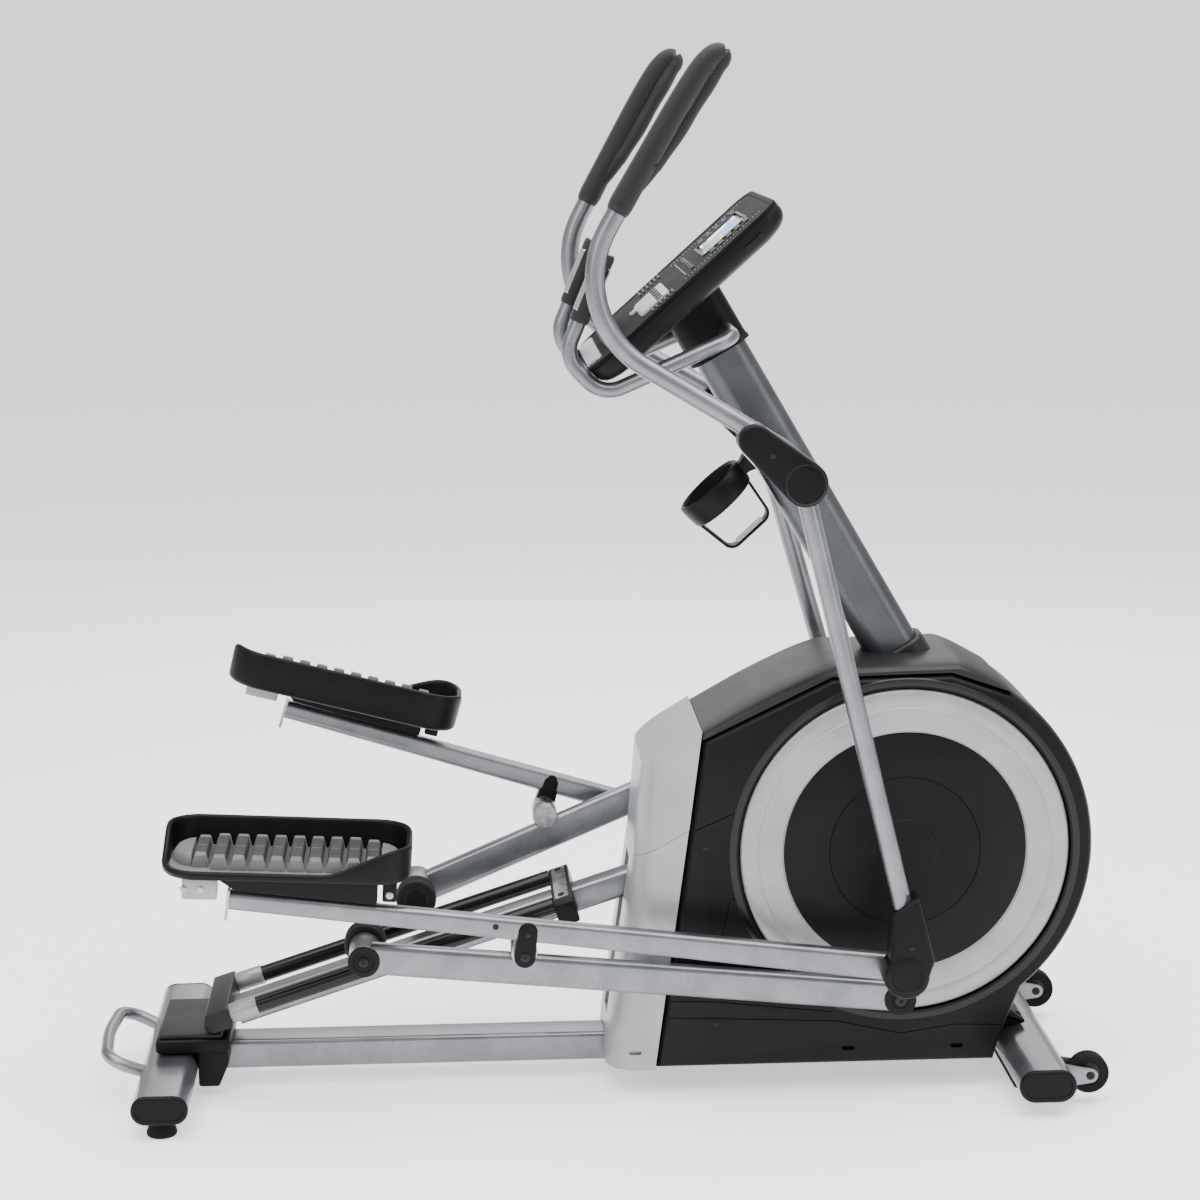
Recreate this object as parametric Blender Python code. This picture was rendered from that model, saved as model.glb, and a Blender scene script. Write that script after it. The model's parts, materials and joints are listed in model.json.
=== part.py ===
# Front-drive elliptical trainer with an incline ramp, at its real size in metres.
# +X is the front of the machine, +Y its left side, +Z up; the floor is z = 0.
# The right-hand side is y < 0. Side pieces are made by one function each, called for both sides.
from math import acos, atan2, ceil, cos, hypot, pi, radians, sin, sqrt, tan

import bmesh
import bpy
from mathutils import Matrix, Vector

GAP = 0.0003  # clearance between pieces that touch

# crank and its covers
CRANK_X = 0.524
CRANK_Z = 0.432
CRANK_PIN = {-1: (0.2518, radians(-92.6)), 1: (0.2280, radians(87.7))}  # throw and phase of each pin
DISC_RADIUS = 0.2835
DISC_INNER_Y = 0.1320
DISC_OUTER_Y = 0.1450

# incline ramp
HINGE_X = -0.666
HINGE_Z = 0.137
RAMP_SLOPE = radians(18)
RAIL_Y = 0.083
RAIL_RADIUS = 0.0145
RAIL_RISE = 0.0015
RAIL_START = 0.0305
RAIL_END = 0.620
ROLLER_RISE = RAIL_RISE + 0.0445

# belt drive inside the housing
PULLEY_RADIUS = 0.1300
FLYWHEEL_X = 0.300
FLYWHEEL_Z = 0.250
FLYWHEEL_BOSS = 0.0186  # the pulley's radius over this one gives the flywheel's speed ratio

# linkage
ROLLER_ARM_LENGTH = {-1: 0.9200, 1: 0.9224}
ROLLER_ARM_DROP = {-1: -0.003, 1: 0.013}  # the beam below the line from axle to crank pin
ROLLER_ARM_INNER_Y = 0.158
ROLLER_ARM_OUTER_Y = 0.186
ARM_JOINT = {-1: (0.2677, 0.0437), 1: (0.2638, 0.0234)}  # pedal arm pivot along and above that line
PEDAL_ARM_INNER_Y = 0.214
PEDAL_ARM_OUTER_Y = 0.242
PEDAL_ARM_ABOVE = 0.047
PEDAL_ARM_PITCH = {-1: radians(-7.4), 1: radians(-17.0)}
PEDAL_ARM_REAR = 0.500
PEDAL_ARM_FRONT = 0.625
PEDAL_TILT = {-1: radians(4.4), 1: radians(2.3)}  # pedal to its arm
PEDAL_PIVOT_BACK = 0.236
PEDAL_PIVOT_UP = 0.030
PEDAL_Y = 0.1840

# handles
HANDLE_Y = 0.290
HANDLE_TUBE = 0.0160
PIVOT_X = 0.324
PIVOT_Z = 1.0945
HANDLE_LOWER = 0.8490
HANDLE_SWING = {-1: radians(12.06), 1: radians(14.30)}
# the right handle's corners at rest, from its grip to its foot
GRIP_START = (0.0247, 1.5315)
BEND = (-0.0691, 1.3661)
ELBOW = (0.3110, 1.1366)
TUBE_END = (0.5230, 0.2720)
FOOT_CAP = (0.5014, 0.2642)
FOOT_COVER = [(0.5479, 0.2913), (0.5356, 0.3382), (0.5187, 0.4015), (0.4775, 0.3727)]

# mast
MAST_FOOT_X = 0.5540
MAST_FOOT_Z = 0.700
MAST_LEAN = radians(30.3)
MAST_LENGTH = 0.670

# stabilisers, wheels and feet
REAR_BAR_X = -0.744
REAR_BAR_Z = 0.0535
FRONT_BAR_X = 0.750
FRONT_BAR_Z = 0.0560
BAR_HALF = 0.2850
CAP_DEPTH = 0.0075
WHEEL_X = 0.8335
WHEEL_Z = 0.0550
WHEEL_RADIUS = 0.0345
WHEEL_Y = 0.219
FOOT_Y = 0.255
STUD_RADIUS = 0.0050

# console
FACE_TOP = (0.2870, 1.5410)
FACE_SLOPE = radians(42)
FACE_LENGTH = 0.410
FACE_HALF = 0.200


# ---------- plane outlines, as lists of (x, z) or (x, y) points ----------

def arc(cx, cz, radius, start, stop, steps):
    return [(cx + radius * cos(start + (stop - start) * i / steps),
             cz + radius * sin(start + (stop - start) * i / steps)) for i in range(steps + 1)]


def circle(cx, cz, radius, sides):
    return arc(cx, cz, radius, 0, 2 * pi, sides)[:-1]


def obround(cx, cz, width, height, steps=10):
    radius = height / 2
    reach = width / 2 - radius
    return (arc(cx + reach, cz, radius, -pi / 2, pi / 2, steps)
            + arc(cx - reach, cz, radius, pi / 2, 3 * pi / 2, steps))


def rounded(cx, cz, width, height, radius, steps=4):
    right = cx + width / 2 - radius
    left = cx - width / 2 + radius
    top = cz + height / 2 - radius
    low = cz - height / 2 + radius
    return (arc(right, low, radius, -pi / 2, 0, steps) + arc(right, top, radius, 0, pi / 2, steps)
            + arc(left, top, radius, pi / 2, pi, steps) + arc(left, low, radius, pi, 3 * pi / 2, steps))


def turned(outline, angle, cx=0.0, cz=0.0):
    c, s = cos(angle), sin(angle)
    return [(cx + c * x - s * z, cz + s * x + c * z) for x, z in outline]


def capsule(c1, r1, c2, r2, steps=12):
    # the hull of two circles
    dx, dz = c2[0] - c1[0], c2[1] - c1[1]
    facing = atan2(dz, dx)
    half = acos((r1 - r2) / hypot(dx, dz))
    return (arc(c2[0], c2[1], r2, facing - half, facing + half, steps)
            + arc(c1[0], c1[1], r1, facing + half, facing + 2 * pi - half, steps))


def inset(outline, distance):
    # moves every side of a counter-clockwise outline inwards
    moved = []
    for i, (x, z) in enumerate(outline):
        px, pz = outline[i - 1]
        nx, nz = outline[(i + 1) % len(outline)]
        a = Vector((x - px, z - pz)).normalized()
        b = Vector((nx - x, nz - z)).normalized()
        normal = Vector((-a.y - b.y, a.x + b.x)).normalized()
        reach = distance / max(0.35, normal.dot(Vector((-a.y, a.x))))
        moved.append((x + normal.x * reach, z + normal.y * reach))
    return moved


def band(path, half):
    # a strip that follows a line of (x, z) points
    left, right = [], []
    for i, point in enumerate(path):
        before = path[max(i - 1, 0)]
        after = path[min(i + 1, len(path) - 1)]
        d = Vector((after[0] - before[0], after[1] - before[1])).normalized()
        left.append((point[0] - d.y * half, point[1] + d.x * half))
        right.append((point[0] + d.y * half, point[1] - d.x * half))
    return right + left[::-1]


def filleted(corners, radii, step=radians(12)):
    # a line through the corners, each inner corner rounded by its radius
    points = [Vector(corners[0])]
    for i, radius in enumerate(radii, start=1):
        corner = Vector(corners[i])
        back = (Vector(corners[i - 1]) - corner).normalized()
        ahead = (Vector(corners[i + 1]) - corner).normalized()
        inner = back.angle(ahead)
        reach = radius / tan(inner / 2)
        middle = corner + (back + ahead).normalized() * (radius / sin(inner / 2))
        count = max(3, ceil((pi - inner) / step))
        start = corner + back * reach - middle
        stop = corner + ahead * reach - middle
        for k in range(count + 1):
            share = k / count
            turn = pi - inner
            points.append(middle + (start * sin(turn * (1 - share)) + stop * sin(turn * share)) / sin(turn))
    points.append(Vector(corners[-1]))
    return points


# ---------- solids ----------

def prism(outline, y0, y1):
    return loft([(y0, outline), (y1, outline)])


def loft(sections):
    # closed solid through equal outlines in x and z, at rising y
    bm = bmesh.new()
    rings = [[bm.verts.new((x, y, z)) for x, z in outline] for y, outline in sections]
    return skin(bm, rings)


def skin(bm, rings, closed=False):
    count = len(rings[0])
    pairs = list(zip(rings, rings[1:]))
    if closed:
        pairs.append((rings[-1], rings[0]))
    for one, two in pairs:
        for i in range(count):
            j = (i + 1) % count
            bm.faces.new((one[i], one[j], two[j], two[i]))
    bm.normal_update()
    bmesh.ops.connect_verts_nonplanar(bm, angle_limit=radians(0.2), faces=bm.faces[:])
    if not closed:
        bm.faces.new(rings[0][::-1])
        bm.faces.new(rings[-1])
    bmesh.ops.recalc_face_normals(bm, faces=bm.faces[:])
    return bm


def band_prism(outer, inner, y0, y1):
    bm = bmesh.new()
    corners = ((outer, y0), (outer, y1), (inner, y1), (inner, y0))
    rings = [[bm.verts.new((x, y, z)) for x, z in outline] for outline, y in corners]
    return skin(bm, rings, closed=True)


def turned_ring(profile, cx, cz, sides=32, closed=True):
    # profile of (radius, y) points spun about the line parallel to Y through (cx, cz)
    bm = bmesh.new()
    rings = [[bm.verts.new((cx + r * cos(2 * pi * i / sides), y, cz + r * sin(2 * pi * i / sides)))
              for i in range(sides)] for r, y in profile]
    return skin(bm, rings, closed)


def tube(points, radius, sides=12):
    bm = bmesh.new()
    points = [Vector(p) for p in points]
    rings = []
    tangent = (points[1] - points[0]).normalized()
    across = tangent.orthogonal().normalized()
    for i, point in enumerate(points):
        before = points[max(i - 1, 0)]
        after = points[min(i + 1, len(points) - 1)]
        heading = (after - before).normalized()
        across = (tangent.rotation_difference(heading) @ across).normalized()
        tangent = heading
        lift = tangent.cross(across)
        rings.append([bm.verts.new(point + radius * (across * cos(2 * pi * k / sides)
                                                     + lift * sin(2 * pi * k / sides)))
                      for k in range(sides)])
    return skin(bm, rings)


def beam(section, start, stop, shrink=1.0):
    # a section of (across in the XZ plane, y) points carried from start to stop, both (x, z)
    bm = bmesh.new()
    d = Vector((stop[0] - start[0], 0, stop[1] - start[1])).normalized()
    across = Vector((d.z, 0, -d.x))
    rings = []
    for (x, z), size in ((start, 1.0), (stop, shrink)):
        base = Vector((x, 0, z))
        rings.append([bm.verts.new(base + across * a * size + Vector((0, y, 0))) for a, y in section])
    return skin(bm, rings)


def plate(outline, z0, z1, angle=0.0, at=(0.0, 0.0, 0.0)):
    # an outline of (x, y) points with its thickness along z, tipped about Y and moved
    bm = bmesh.new()
    rings = [[bm.verts.new((x, y, z)) for x, y in outline] for z in (z0, z1)]
    skin(bm, rings)
    bm.transform(Matrix.Translation(at) @ Matrix.Rotation(angle, 4, 'Y'))
    return bm


# ---------- objects ----------

def material(name, colour, roughness, metallic):
    made = bpy.data.materials.new(name)
    made.use_nodes = True
    shader = made.node_tree.nodes['Principled BSDF']
    shader.inputs['Base Color'].default_value = (*colour, 1)
    shader.inputs['Roughness'].default_value = roughness
    shader.inputs['Metallic'].default_value = metallic
    return made


def centre(name, x, y, z):
    # an empty on a joint's axis, which carries the pieces of one body
    empty = bpy.data.objects.new(name, None)
    empty.location = (x, y, z)
    empty.empty_display_size = 0.05
    bpy.context.scene.collection.objects.link(empty)
    return empty


def piece(name, bm, finish, body):
    mesh = bpy.data.meshes.new(name)
    bm.to_mesh(mesh)
    bm.free()
    mesh.transform(Matrix.Translation(-body.location))
    mesh.shade_smooth()
    mesh.set_sharp_from_angle(angle=radians(32))
    mesh.materials.append(finish)
    made = bpy.data.objects.new(name, mesh)
    made.parent = body
    bpy.context.scene.collection.objects.link(made)
    return made


def helper(target, bm, operation):
    # a hidden shape added to or cut from the target
    shape = piece(target.name + '_' + operation.lower(), bm, target.data.materials[0], target.parent)
    shape.hide_render = True
    shape.display_type = 'WIRE'
    step = target.modifiers.new(operation.title(), 'BOOLEAN')
    step.object = shape
    step.operation = operation
    step.solver = 'EXACT'


def add(target, bm):
    helper(target, bm, 'UNION')


def cut(target, bm):
    helper(target, bm, 'DIFFERENCE')


def both(side, near, far):
    # the two y values of a side piece, in rising order
    return tuple(sorted((side * near, side * far)))


def side_name(side):
    return 'right' if side < 0 else 'left'


def along(start, angle, forward, up=0.0):
    return (start[0] + forward * cos(angle) - up * sin(angle),
            start[1] + forward * sin(angle) + up * cos(angle))


for old in list(bpy.data.objects):
    bpy.data.objects.remove(old)

SILVER = material('silver_powder_coat', (0.46, 0.47, 0.49), 0.38, 0.75)
GREY_PAINT = material('grey_powder_coat', (0.10, 0.105, 0.115), 0.42, 0.45)
BLACK = material('black_abs', (0.022, 0.023, 0.026), 0.42, 0.0)
DARK = material('dark_grey_abs', (0.055, 0.057, 0.062), 0.5, 0.0)
SILVER_ABS = material('silver_abs', (0.52, 0.54, 0.56), 0.42, 0.3)
RUBBER = material('rubber', (0.02, 0.02, 0.021), 0.8, 0.0)
PAD_GREY = material('pad_grey', (0.42, 0.43, 0.44), 0.7, 0.0)
STEEL = material('steel', (0.55, 0.55, 0.56), 0.3, 1.0)
GLASS = material('display', (0.05, 0.2, 0.4), 0.1, 0.0)

# ---------- the linkage at rest ----------

HINGE = (HINGE_X, HINGE_Z)
CRANK = (CRANK_X, CRANK_Z)
PIVOT = (PIVOT_X, PIVOT_Z)


def on_ramp(forward, up=0.0):
    return along(HINGE, RAMP_SLOPE, forward, up)


def crank_pin(side):
    throw, angle = CRANK_PIN[side]
    return along(CRANK, angle, throw)


def roller_axle(side):
    # the point on the rollers' line at one arm's length from the crank pin
    pin = crank_pin(side)
    line = on_ramp(0.0, ROLLER_RISE)
    dx, dz = pin[0] - line[0], pin[1] - line[1]
    ahead = dx * cos(RAMP_SLOPE) + dz * sin(RAMP_SLOPE)
    over = dz * cos(RAMP_SLOPE) - dx * sin(RAMP_SLOPE)
    return on_ramp(ahead - sqrt(ROLLER_ARM_LENGTH[side] ** 2 - over ** 2), ROLLER_RISE)


def roller_arm_angle(side):
    axle, pin = roller_axle(side), crank_pin(side)
    return atan2(pin[1] - axle[1], pin[0] - axle[0])


def arm_joint(side):
    return along(roller_axle(side), roller_arm_angle(side), *ARM_JOINT[side])


def handle_foot(side):
    swing = HANDLE_SWING[side]
    return (PIVOT_X + HANDLE_LOWER * sin(swing), PIVOT_Z - HANDLE_LOWER * cos(swing))


def pedal_pivot(side):
    return along(arm_joint(side), PEDAL_ARM_PITCH[side], -PEDAL_PIVOT_BACK, PEDAL_ARM_ABOVE + PEDAL_PIVOT_UP)


# ---------- frame ----------

def make_stabilisers(body):
    rear = piece('rear_stabilizer', prism(obround(REAR_BAR_X, REAR_BAR_Z, 0.095, 0.0490),
                                          -BAR_HALF, BAR_HALF), SILVER, body)
    half = [(REAR_BAR_X - 0.035, 0.118, REAR_BAR_Z + 0.004), (REAR_BAR_X - 0.1035, 0.132, REAR_BAR_Z + 0.034)]
    corners = [(x, -y, z) for x, y, z in half] + [(REAR_BAR_X - 0.1145, 0.0, REAR_BAR_Z + 0.036)] + half[::-1]
    add(rear, tube(filleted(corners, [0.035, 0.50, 0.035]), 0.0110, 10))
    for side in (-1, 1):
        bore = circle(REAR_BAR_X, side * FOOT_Y, STUD_RADIUS + GAP, 16)
        cut(rear, plate(bore, 0.0200, REAR_BAR_Z - 0.0045))
    front = piece('front_stabilizer', prism(obround(FRONT_BAR_X, FRONT_BAR_Z, 0.097, 0.0560),
                                            -BAR_HALF, BAR_HALF), SILVER, body)
    for side in (-1, 1):
        for reach in (0.0195, -0.0195):
            cheek = side * (WHEEL_Y + reach)
            ear = capsule((FRONT_BAR_X + 0.030, FRONT_BAR_Z), 0.022, (WHEEL_X, WHEEL_Z), 0.013)
            add(front, prism(ear, cheek - 0.002, cheek + 0.002))
        low, high = both(side, WHEEL_Y - 0.0190, WHEEL_Y + 0.0190)
        add(front, prism(circle(WHEEL_X, WHEEL_Z, 0.0050, 12), low, high))
    for side in (-1, 1):
        for end, x, z, width, height in (('rear', REAR_BAR_X, REAR_BAR_Z, 0.095, 0.0490),
                                         ('front', FRONT_BAR_X, FRONT_BAR_Z, 0.097, 0.0560)):
            outline = obround(x, z, width - 0.002, height - 0.002)
            near = BAR_HALF + GAP
            sections = [(near, outline), (near + CAP_DEPTH - 0.002, outline),
                        (near + CAP_DEPTH, inset(outline, 0.0025))]
            sections = sorted((side * y, o) for y, o in sections)
            piece(end + '_cap_' + side_name(side), loft(sections), DARK, body)
    foot_top = FRONT_BAR_Z - 0.0280 - GAP
    piece('front_foot', prism(rounded(FRONT_BAR_X, foot_top / 2, 0.060, foot_top, 0.006), -0.150, 0.150),
          RUBBER, body)


def make_base(body):
    start = REAR_BAR_X + 0.0475 + GAP
    stop = FRONT_BAR_X - 0.0485 - GAP
    base = rounded(0.0545, 0.0, 0.0520, 0.0700, 0.006, 2)
    bm = bmesh.new()
    rings = [[bm.verts.new((x, y, z)) for z, y in base] for x in (start, stop)]
    piece('base_beam', skin(bm, rings), GREY_PAINT, body)
    cover = piece('rear_cover', prism(rounded(-0.7035, 0.0990, 0.129, 0.0360, 0.008, 3), -0.100, 0.100),
                  BLACK, body)
    for side in (-1, 1):
        low, high = both(side, 0.0360, 0.0950)
        add(cover, prism([(-0.6955, 0.0200), (-0.6600, 0.0200), (-0.6440, 0.0600), (-0.6440, 0.1000),
                          (-0.6955, 0.1000)], low, high))
    foot = (MAST_FOOT_X, MAST_FOOT_Z)
    top = along(foot, MAST_LEAN, 0.0, -0.0010)
    reach = (0.046 * cos(MAST_LEAN), 0.046 * sin(MAST_LEAN))
    outline = [(CRANK_X - 0.035, 0.0808), (CRANK_X + 0.035, 0.0808),
               (top[0] + reach[0], top[1] + reach[1]), (top[0] - reach[0], top[1] - reach[1])]
    post = piece('core_post', prism(outline, -0.030, 0.030), GREY_PAINT, body)
    cut(post, turned_ring([(0.0140, -0.06), (0.0140, 0.06)], CRANK_X, CRANK_Z, 24, closed=False))


def make_mast(body):
    foot = (MAST_FOOT_X, MAST_FOOT_Z)
    top = along(foot, pi / 2 + MAST_LEAN, MAST_LENGTH)
    mast = piece('mast', beam(rounded(0, 0, 0.093, 0.076, 0.028, 5), foot, top), GREY_PAINT, body)
    add(mast, prism(circle(PIVOT_X, PIVOT_Z, 0.0190, 20), -0.2560, 0.2560))
    add(mast, prism(circle(PIVOT_X, PIVOT_Z, 0.0120, 16), -0.2735, 0.2735))
    return top


# ---------- drive housing ----------

def shell_outline():
    # the side of the drive housing in front of the silver rear fairing, counter-clockwise
    return ([(0.0960, 0.0480), (0.6880, 0.0480), (0.6980, 0.0900)]
            + arc(CRANK_X, CRANK_Z, 0.3280, radians(-50), radians(56), 20)
            + [(0.6000, 0.7420), (0.3950, 0.7380), (0.1760, 0.6320), (0.1540, 0.4760)])


def mast_room():
    foot = (MAST_FOOT_X, MAST_FOOT_Z)
    lean = pi / 2 + MAST_LEAN
    return beam(rounded(0, 0, 0.0954, 0.0784, 0.029, 5), along(foot, lean, -0.05), along(foot, lean, 0.20))


def make_housing(body):
    outline = shell_outline()
    for side in (-1, 1):
        steps = ((0.0005, 0.0), (0.1180, 0.0), (0.1360, 0.0030), (0.1440, 0.0120))
        shell = piece('housing_' + side_name(side),
                      loft(sorted((side * y, inset(outline, d)) for y, d in steps)), BLACK, body)
        hollow = inset(outline, 0.0065)
        hollow = [(x, z - 0.030 if z < 0.10 else z) for x, z in hollow]
        cut(shell, prism(hollow, *both(side, -0.02, 0.1260)))
        cut(shell, prism(circle(CRANK_X, CRANK_Z, DISC_RADIUS + 0.0035, 48), *both(side, 0.1310, 0.20)))
        cut(shell, prism(circle(CRANK_X, CRANK_Z, 0.0160, 20), *both(side, 0.10, 0.18)))
        cut(shell, prism(rounded(0.40, 0.0300, 0.80, 0.1060, 0.002, 1), *both(side, -0.01, 0.0370)))
        # the ramp's spine passes through the rear wall as the ramp goes down
        cut(shell, prism([(0.050, 0.0750), (0.175, 0.0750), (0.175, 0.4350), (0.050, 0.4350)],
                         *both(side, -0.01, 0.0320)))
        cut(shell, mast_room())

    def fairing(points, name, top_closed):
        # rear panel with rounded rear corners: its rear side moves in towards the sides, along its seams
        def section(shift):
            return [(x, z) if slope is None else (x + shift, z + shift * slope) for x, z, slope in points]
        rows = ((0.0860, 0.0), (0.1120, 0.0080), (0.1280, 0.0240), (0.1380, 0.0500))
        half = [(y, section(s)) for y, s in rows]
        whole = [(-y, o) for y, o in reversed(half)] + half
        made = piece(name, loft(whole), SILVER_ABS, body)
        room = [(x + 0.060, z) if slope is None else (x + 0.020, z) for x, z, slope in points]
        if top_closed:
            low = min(z for x, z in room)
            high = max(z for x, z in room)
            room = [(x, z - 0.010 if z > (low + high) / 2 else z - 0.05) for x, z in room]
        else:
            room = [(x, z + 0.05 if z > 0.3 else z - 0.05) for x, z in room]
        cut(made, prism(room, -0.1180, 0.1180))
        return made

    seam = 0.54 / 0.925
    lower = fairing([(0.0945, 0.0460, None), (0.1525, 0.4740, None), (0.0600, 0.4200, seam),
                     (0.0130, 0.0900, 0.0), (0.0100, 0.0460, 0.0)], 'rear_fairing_lower', False)
    cut(lower, prism([(-0.02, 0.115), (0.07, 0.115), (0.12, 0.400), (-0.02, 0.400)], -0.0320, 0.0320))
    cut(lower, prism([(-0.02, 0.0), (0.12, 0.0), (0.12, 0.0830), (-0.02, 0.0830)], -0.0370, 0.0370))
    fairing([(0.1530, 0.4752, None), (0.1750, 0.6470, None), (0.0750, 0.5860, 0.61),
             (0.0605, 0.4212, seam)], 'rear_fairing_upper', True)

    seat = [(0.1762, 0.6330), (0.3950, 0.7388), (0.6000, 0.7428), (0.7070, 0.7060)]
    crown = [(0.6960, 0.7190), (0.6240, 0.7570), (0.5800, 0.7600), (0.4500, 0.7570), (0.3880, 0.7530),
             (0.2810, 0.7060), (0.1762, 0.6480)]
    rows = ((0.060, 0), (0.110, 0.003), (0.139, 0.0085))
    half = [(y, seat + [(x, z - fall) for x, z in crown]) for y, fall in rows]
    cover = piece('top_cover', loft([(-y, o) for y, o in reversed(half)] + half), DARK, body)
    cut(cover, mast_room())


def make_drive(body, crank, fly):
    profile = [(0.0125, -DISC_INNER_Y + GAP), (0.0125, 0.0360), (PULLEY_RADIUS, 0.0400),
               (PULLEY_RADIUS, 0.0520), (0.0125, 0.0560), (0.0125, DISC_INNER_Y - GAP)]
    piece('drive_pulley', turned_ring(profile, CRANK_X, CRANK_Z, 48, closed=False), STEEL, crank)
    for side in (-1, 1):
        profile = [(0.0300, DISC_INNER_Y), (DISC_RADIUS, DISC_INNER_Y),
                   (DISC_RADIUS, DISC_OUTER_Y - 0.004), (DISC_RADIUS - 0.008, DISC_OUTER_Y),
                   (0.2120, DISC_OUTER_Y), (0.2090, DISC_OUTER_Y - 0.003), (0.0300, DISC_OUTER_Y - 0.003)]
        profile = [(r, side * y) for r, y in profile]
        disc = turned_ring(profile, CRANK_X, CRANK_Z, 56, closed=False)
        piece('crank_disc_' + side_name(side), disc, SILVER_ABS, crank)
    fly_x, fly_z = FLYWHEEL_X, FLYWHEEL_Z
    profile = [(0.0090, -0.0500), (0.0090, -0.0260), (0.1050, -0.0240), (0.1050, 0.0100),
               (FLYWHEEL_BOSS, 0.0120), (FLYWHEEL_BOSS, 0.0560), (0.0090, 0.0570), (0.0090, 0.0700)]
    piece('flywheel', turned_ring(profile, fly_x, fly_z, 40, closed=False), STEEL, fly)
    loop = [capsule((CRANK_X, CRANK_Z), PULLEY_RADIUS + t, (fly_x, fly_z), FLYWHEEL_BOSS + t, 24)
            for t in (0.0046, 0.0006)]
    piece('drive_belt', band_prism(loop[0], loop[1], 0.0415, 0.0505), RUBBER, body)
    sector = (arc(fly_x, fly_z, 0.1350, radians(105), radians(170), 10)
              + arc(fly_x, fly_z, 0.1080, radians(170), radians(105), 10))
    piece('brake_magnet', prism(sector, -0.0320, 0.0180), STEEL, body)
    piece('lift_motor', prism(rounded(0.1750, 0.1200, 0.0520, 0.0700, 0.010), -0.0400, 0.0400), BLACK, body)


# ---------- console and bars ----------

def on_face(down, out):
    # a point on the console's face plane: down from its top edge, out from the face
    angle = FACE_SLOPE + pi
    return (FACE_TOP[0] + down * cos(angle) - out * sin(FACE_SLOPE),
            FACE_TOP[1] + down * sin(angle) + out * cos(FACE_SLOPE))


def face_plate(layers):
    # (height off the face, outline) layers, each outline of (down the face, y) points
    bm = bmesh.new()
    rings = []
    for out, outline in layers:
        rings.append([bm.verts.new((on_face(d, out)[0], y, on_face(d, out)[1])) for d, y in outline])
    return skin(bm, rings)


def face_slab(outline, low, high):
    return face_plate([(low, outline), (high, outline)])


def make_console(body, mast_top, key_body):
    half = FACE_LENGTH / 2
    shape = rounded(half, 0.0, FACE_LENGTH, 2 * FACE_HALF, 0.045, 5)
    belly = rounded(0.1720, 0.0, 0.3080, 2 * FACE_HALF - 0.040, 0.045, 5)
    back = piece('console_back', face_plate([(-0.0400, belly), (-0.0200, shape), (-0.0060 - GAP, shape)]),
                 BLACK, body)
    lean = pi / 2 + MAST_LEAN
    start = along(mast_top, lean, GAP)
    stop = along(mast_top, lean, 0.1080)
    add(back, beam(rounded(0, 0, 0.108, 0.088, 0.030, 4), start, stop))
    cut(back, prism(circle(0.2220, 1.3180, 0.0136, 20), -0.10, 0.10))
    face = piece('console_face', face_slab(shape, -0.0060, 0.0), BLACK, body)
    add(face, face_slab(rounded(0.3480, 0.0, 0.0300, 0.2600, 0.010), -0.0030, 0.0160))
    screen = rounded(0.0960, 0.0, 0.0880, 0.1500, 0.004, 2)
    cut(face, face_slab(inset(screen, -0.0006), -0.0035, 0.01))
    piece('display_screen', face_slab(screen, -0.0035 + GAP, -0.0004), GLASS, body)
    key = rounded(0.2900, 0.0, 0.0200, 0.0260, 0.005, 3)
    cut(face, face_slab(inset(key, -0.0010), -0.0045, 0.01))
    piece('start_key', face_slab(key, -0.0025, 0.0020), SILVER_ABS, key_body)


def pulse_corners(side):
    bends = ((0.0135, 1.4558), (-0.0560, 1.2888), (0.0060, 1.2238), (0.2220, 1.3180))
    return [(x, side * 0.170, z) for x, z in bends]


def make_pulse_bar(body):
    right = pulse_corners(-1)
    left = pulse_corners(1)
    path = filleted(right + left[::-1], [0.050, 0.050, 0.040, 0.040, 0.050, 0.050], radians(15))
    piece('pulse_bar', tube(path, 0.0130, 12), SILVER, body)
    for side in (-1, 1):
        top, corner = (Vector(p) for p in pulse_corners(side)[:2])
        d = (corner - top).normalized()
        rings = []
        bm = bmesh.new()
        lift = Vector((d.z, 0, -d.x))
        for r, t in ((0.0150, 0.0010), (0.0165, 0.0080), (0.0165, 0.1120), (0.0150, 0.1190),
                     (0.0134, 0.1190), (0.0134, 0.0010)):
            rings.append([bm.verts.new(top + d * t + r * (lift * cos(2 * pi * k / 16)
                                                          + Vector((0, 1, 0)) * sin(2 * pi * k / 16)))
                          for k in range(16)])
        piece('pulse_grip_' + side_name(side), skin(bm, rings, closed=True), RUBBER, body)


def make_bottle_holder(body):
    # a ring on an arm behind the mast, and a strap under it that the bottle stands on
    middle = Vector((0.2085, 0, 1.0358))
    tilt = radians(42.5)
    out = Vector((cos(tilt), 0, sin(tilt)))
    down = Vector((sin(tilt), 0, -cos(tilt)))
    bm = bmesh.new()
    rings = []
    for r, t in ((0.0590, -0.018), (0.0640, -0.012), (0.0620, 0.018), (0.0580, 0.024),
                 (0.0530, 0.022), (0.0540, -0.014)):
        turns = [2 * pi * (k + 0.5) / 28 for k in range(28)]
        rings.append([bm.verts.new(middle + down * t + out * (r * cos(a)) + Vector((0, r * sin(a), 0)))
                      for a in turns])
    holder = piece('bottle_holder', skin(bm, rings, closed=True), BLACK, body)
    corners = [middle - out * 0.0565, middle - out * 0.0450 + down * 0.0930,
               middle + out * 0.0450 + down * 0.0930, middle + out * 0.0565]
    path = [(p.x, p.z) for p in filleted(corners, [0.018, 0.018])]
    add(holder, prism(band(path, 0.0025), -0.0160, 0.0160))
    ends = [middle + out * 0.0570, middle + out * 0.0800]
    add(holder, prism(band([(p.x, p.z) for p in ends], 0.0120), -0.0200, 0.0200))


# ---------- ramp ----------

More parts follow.
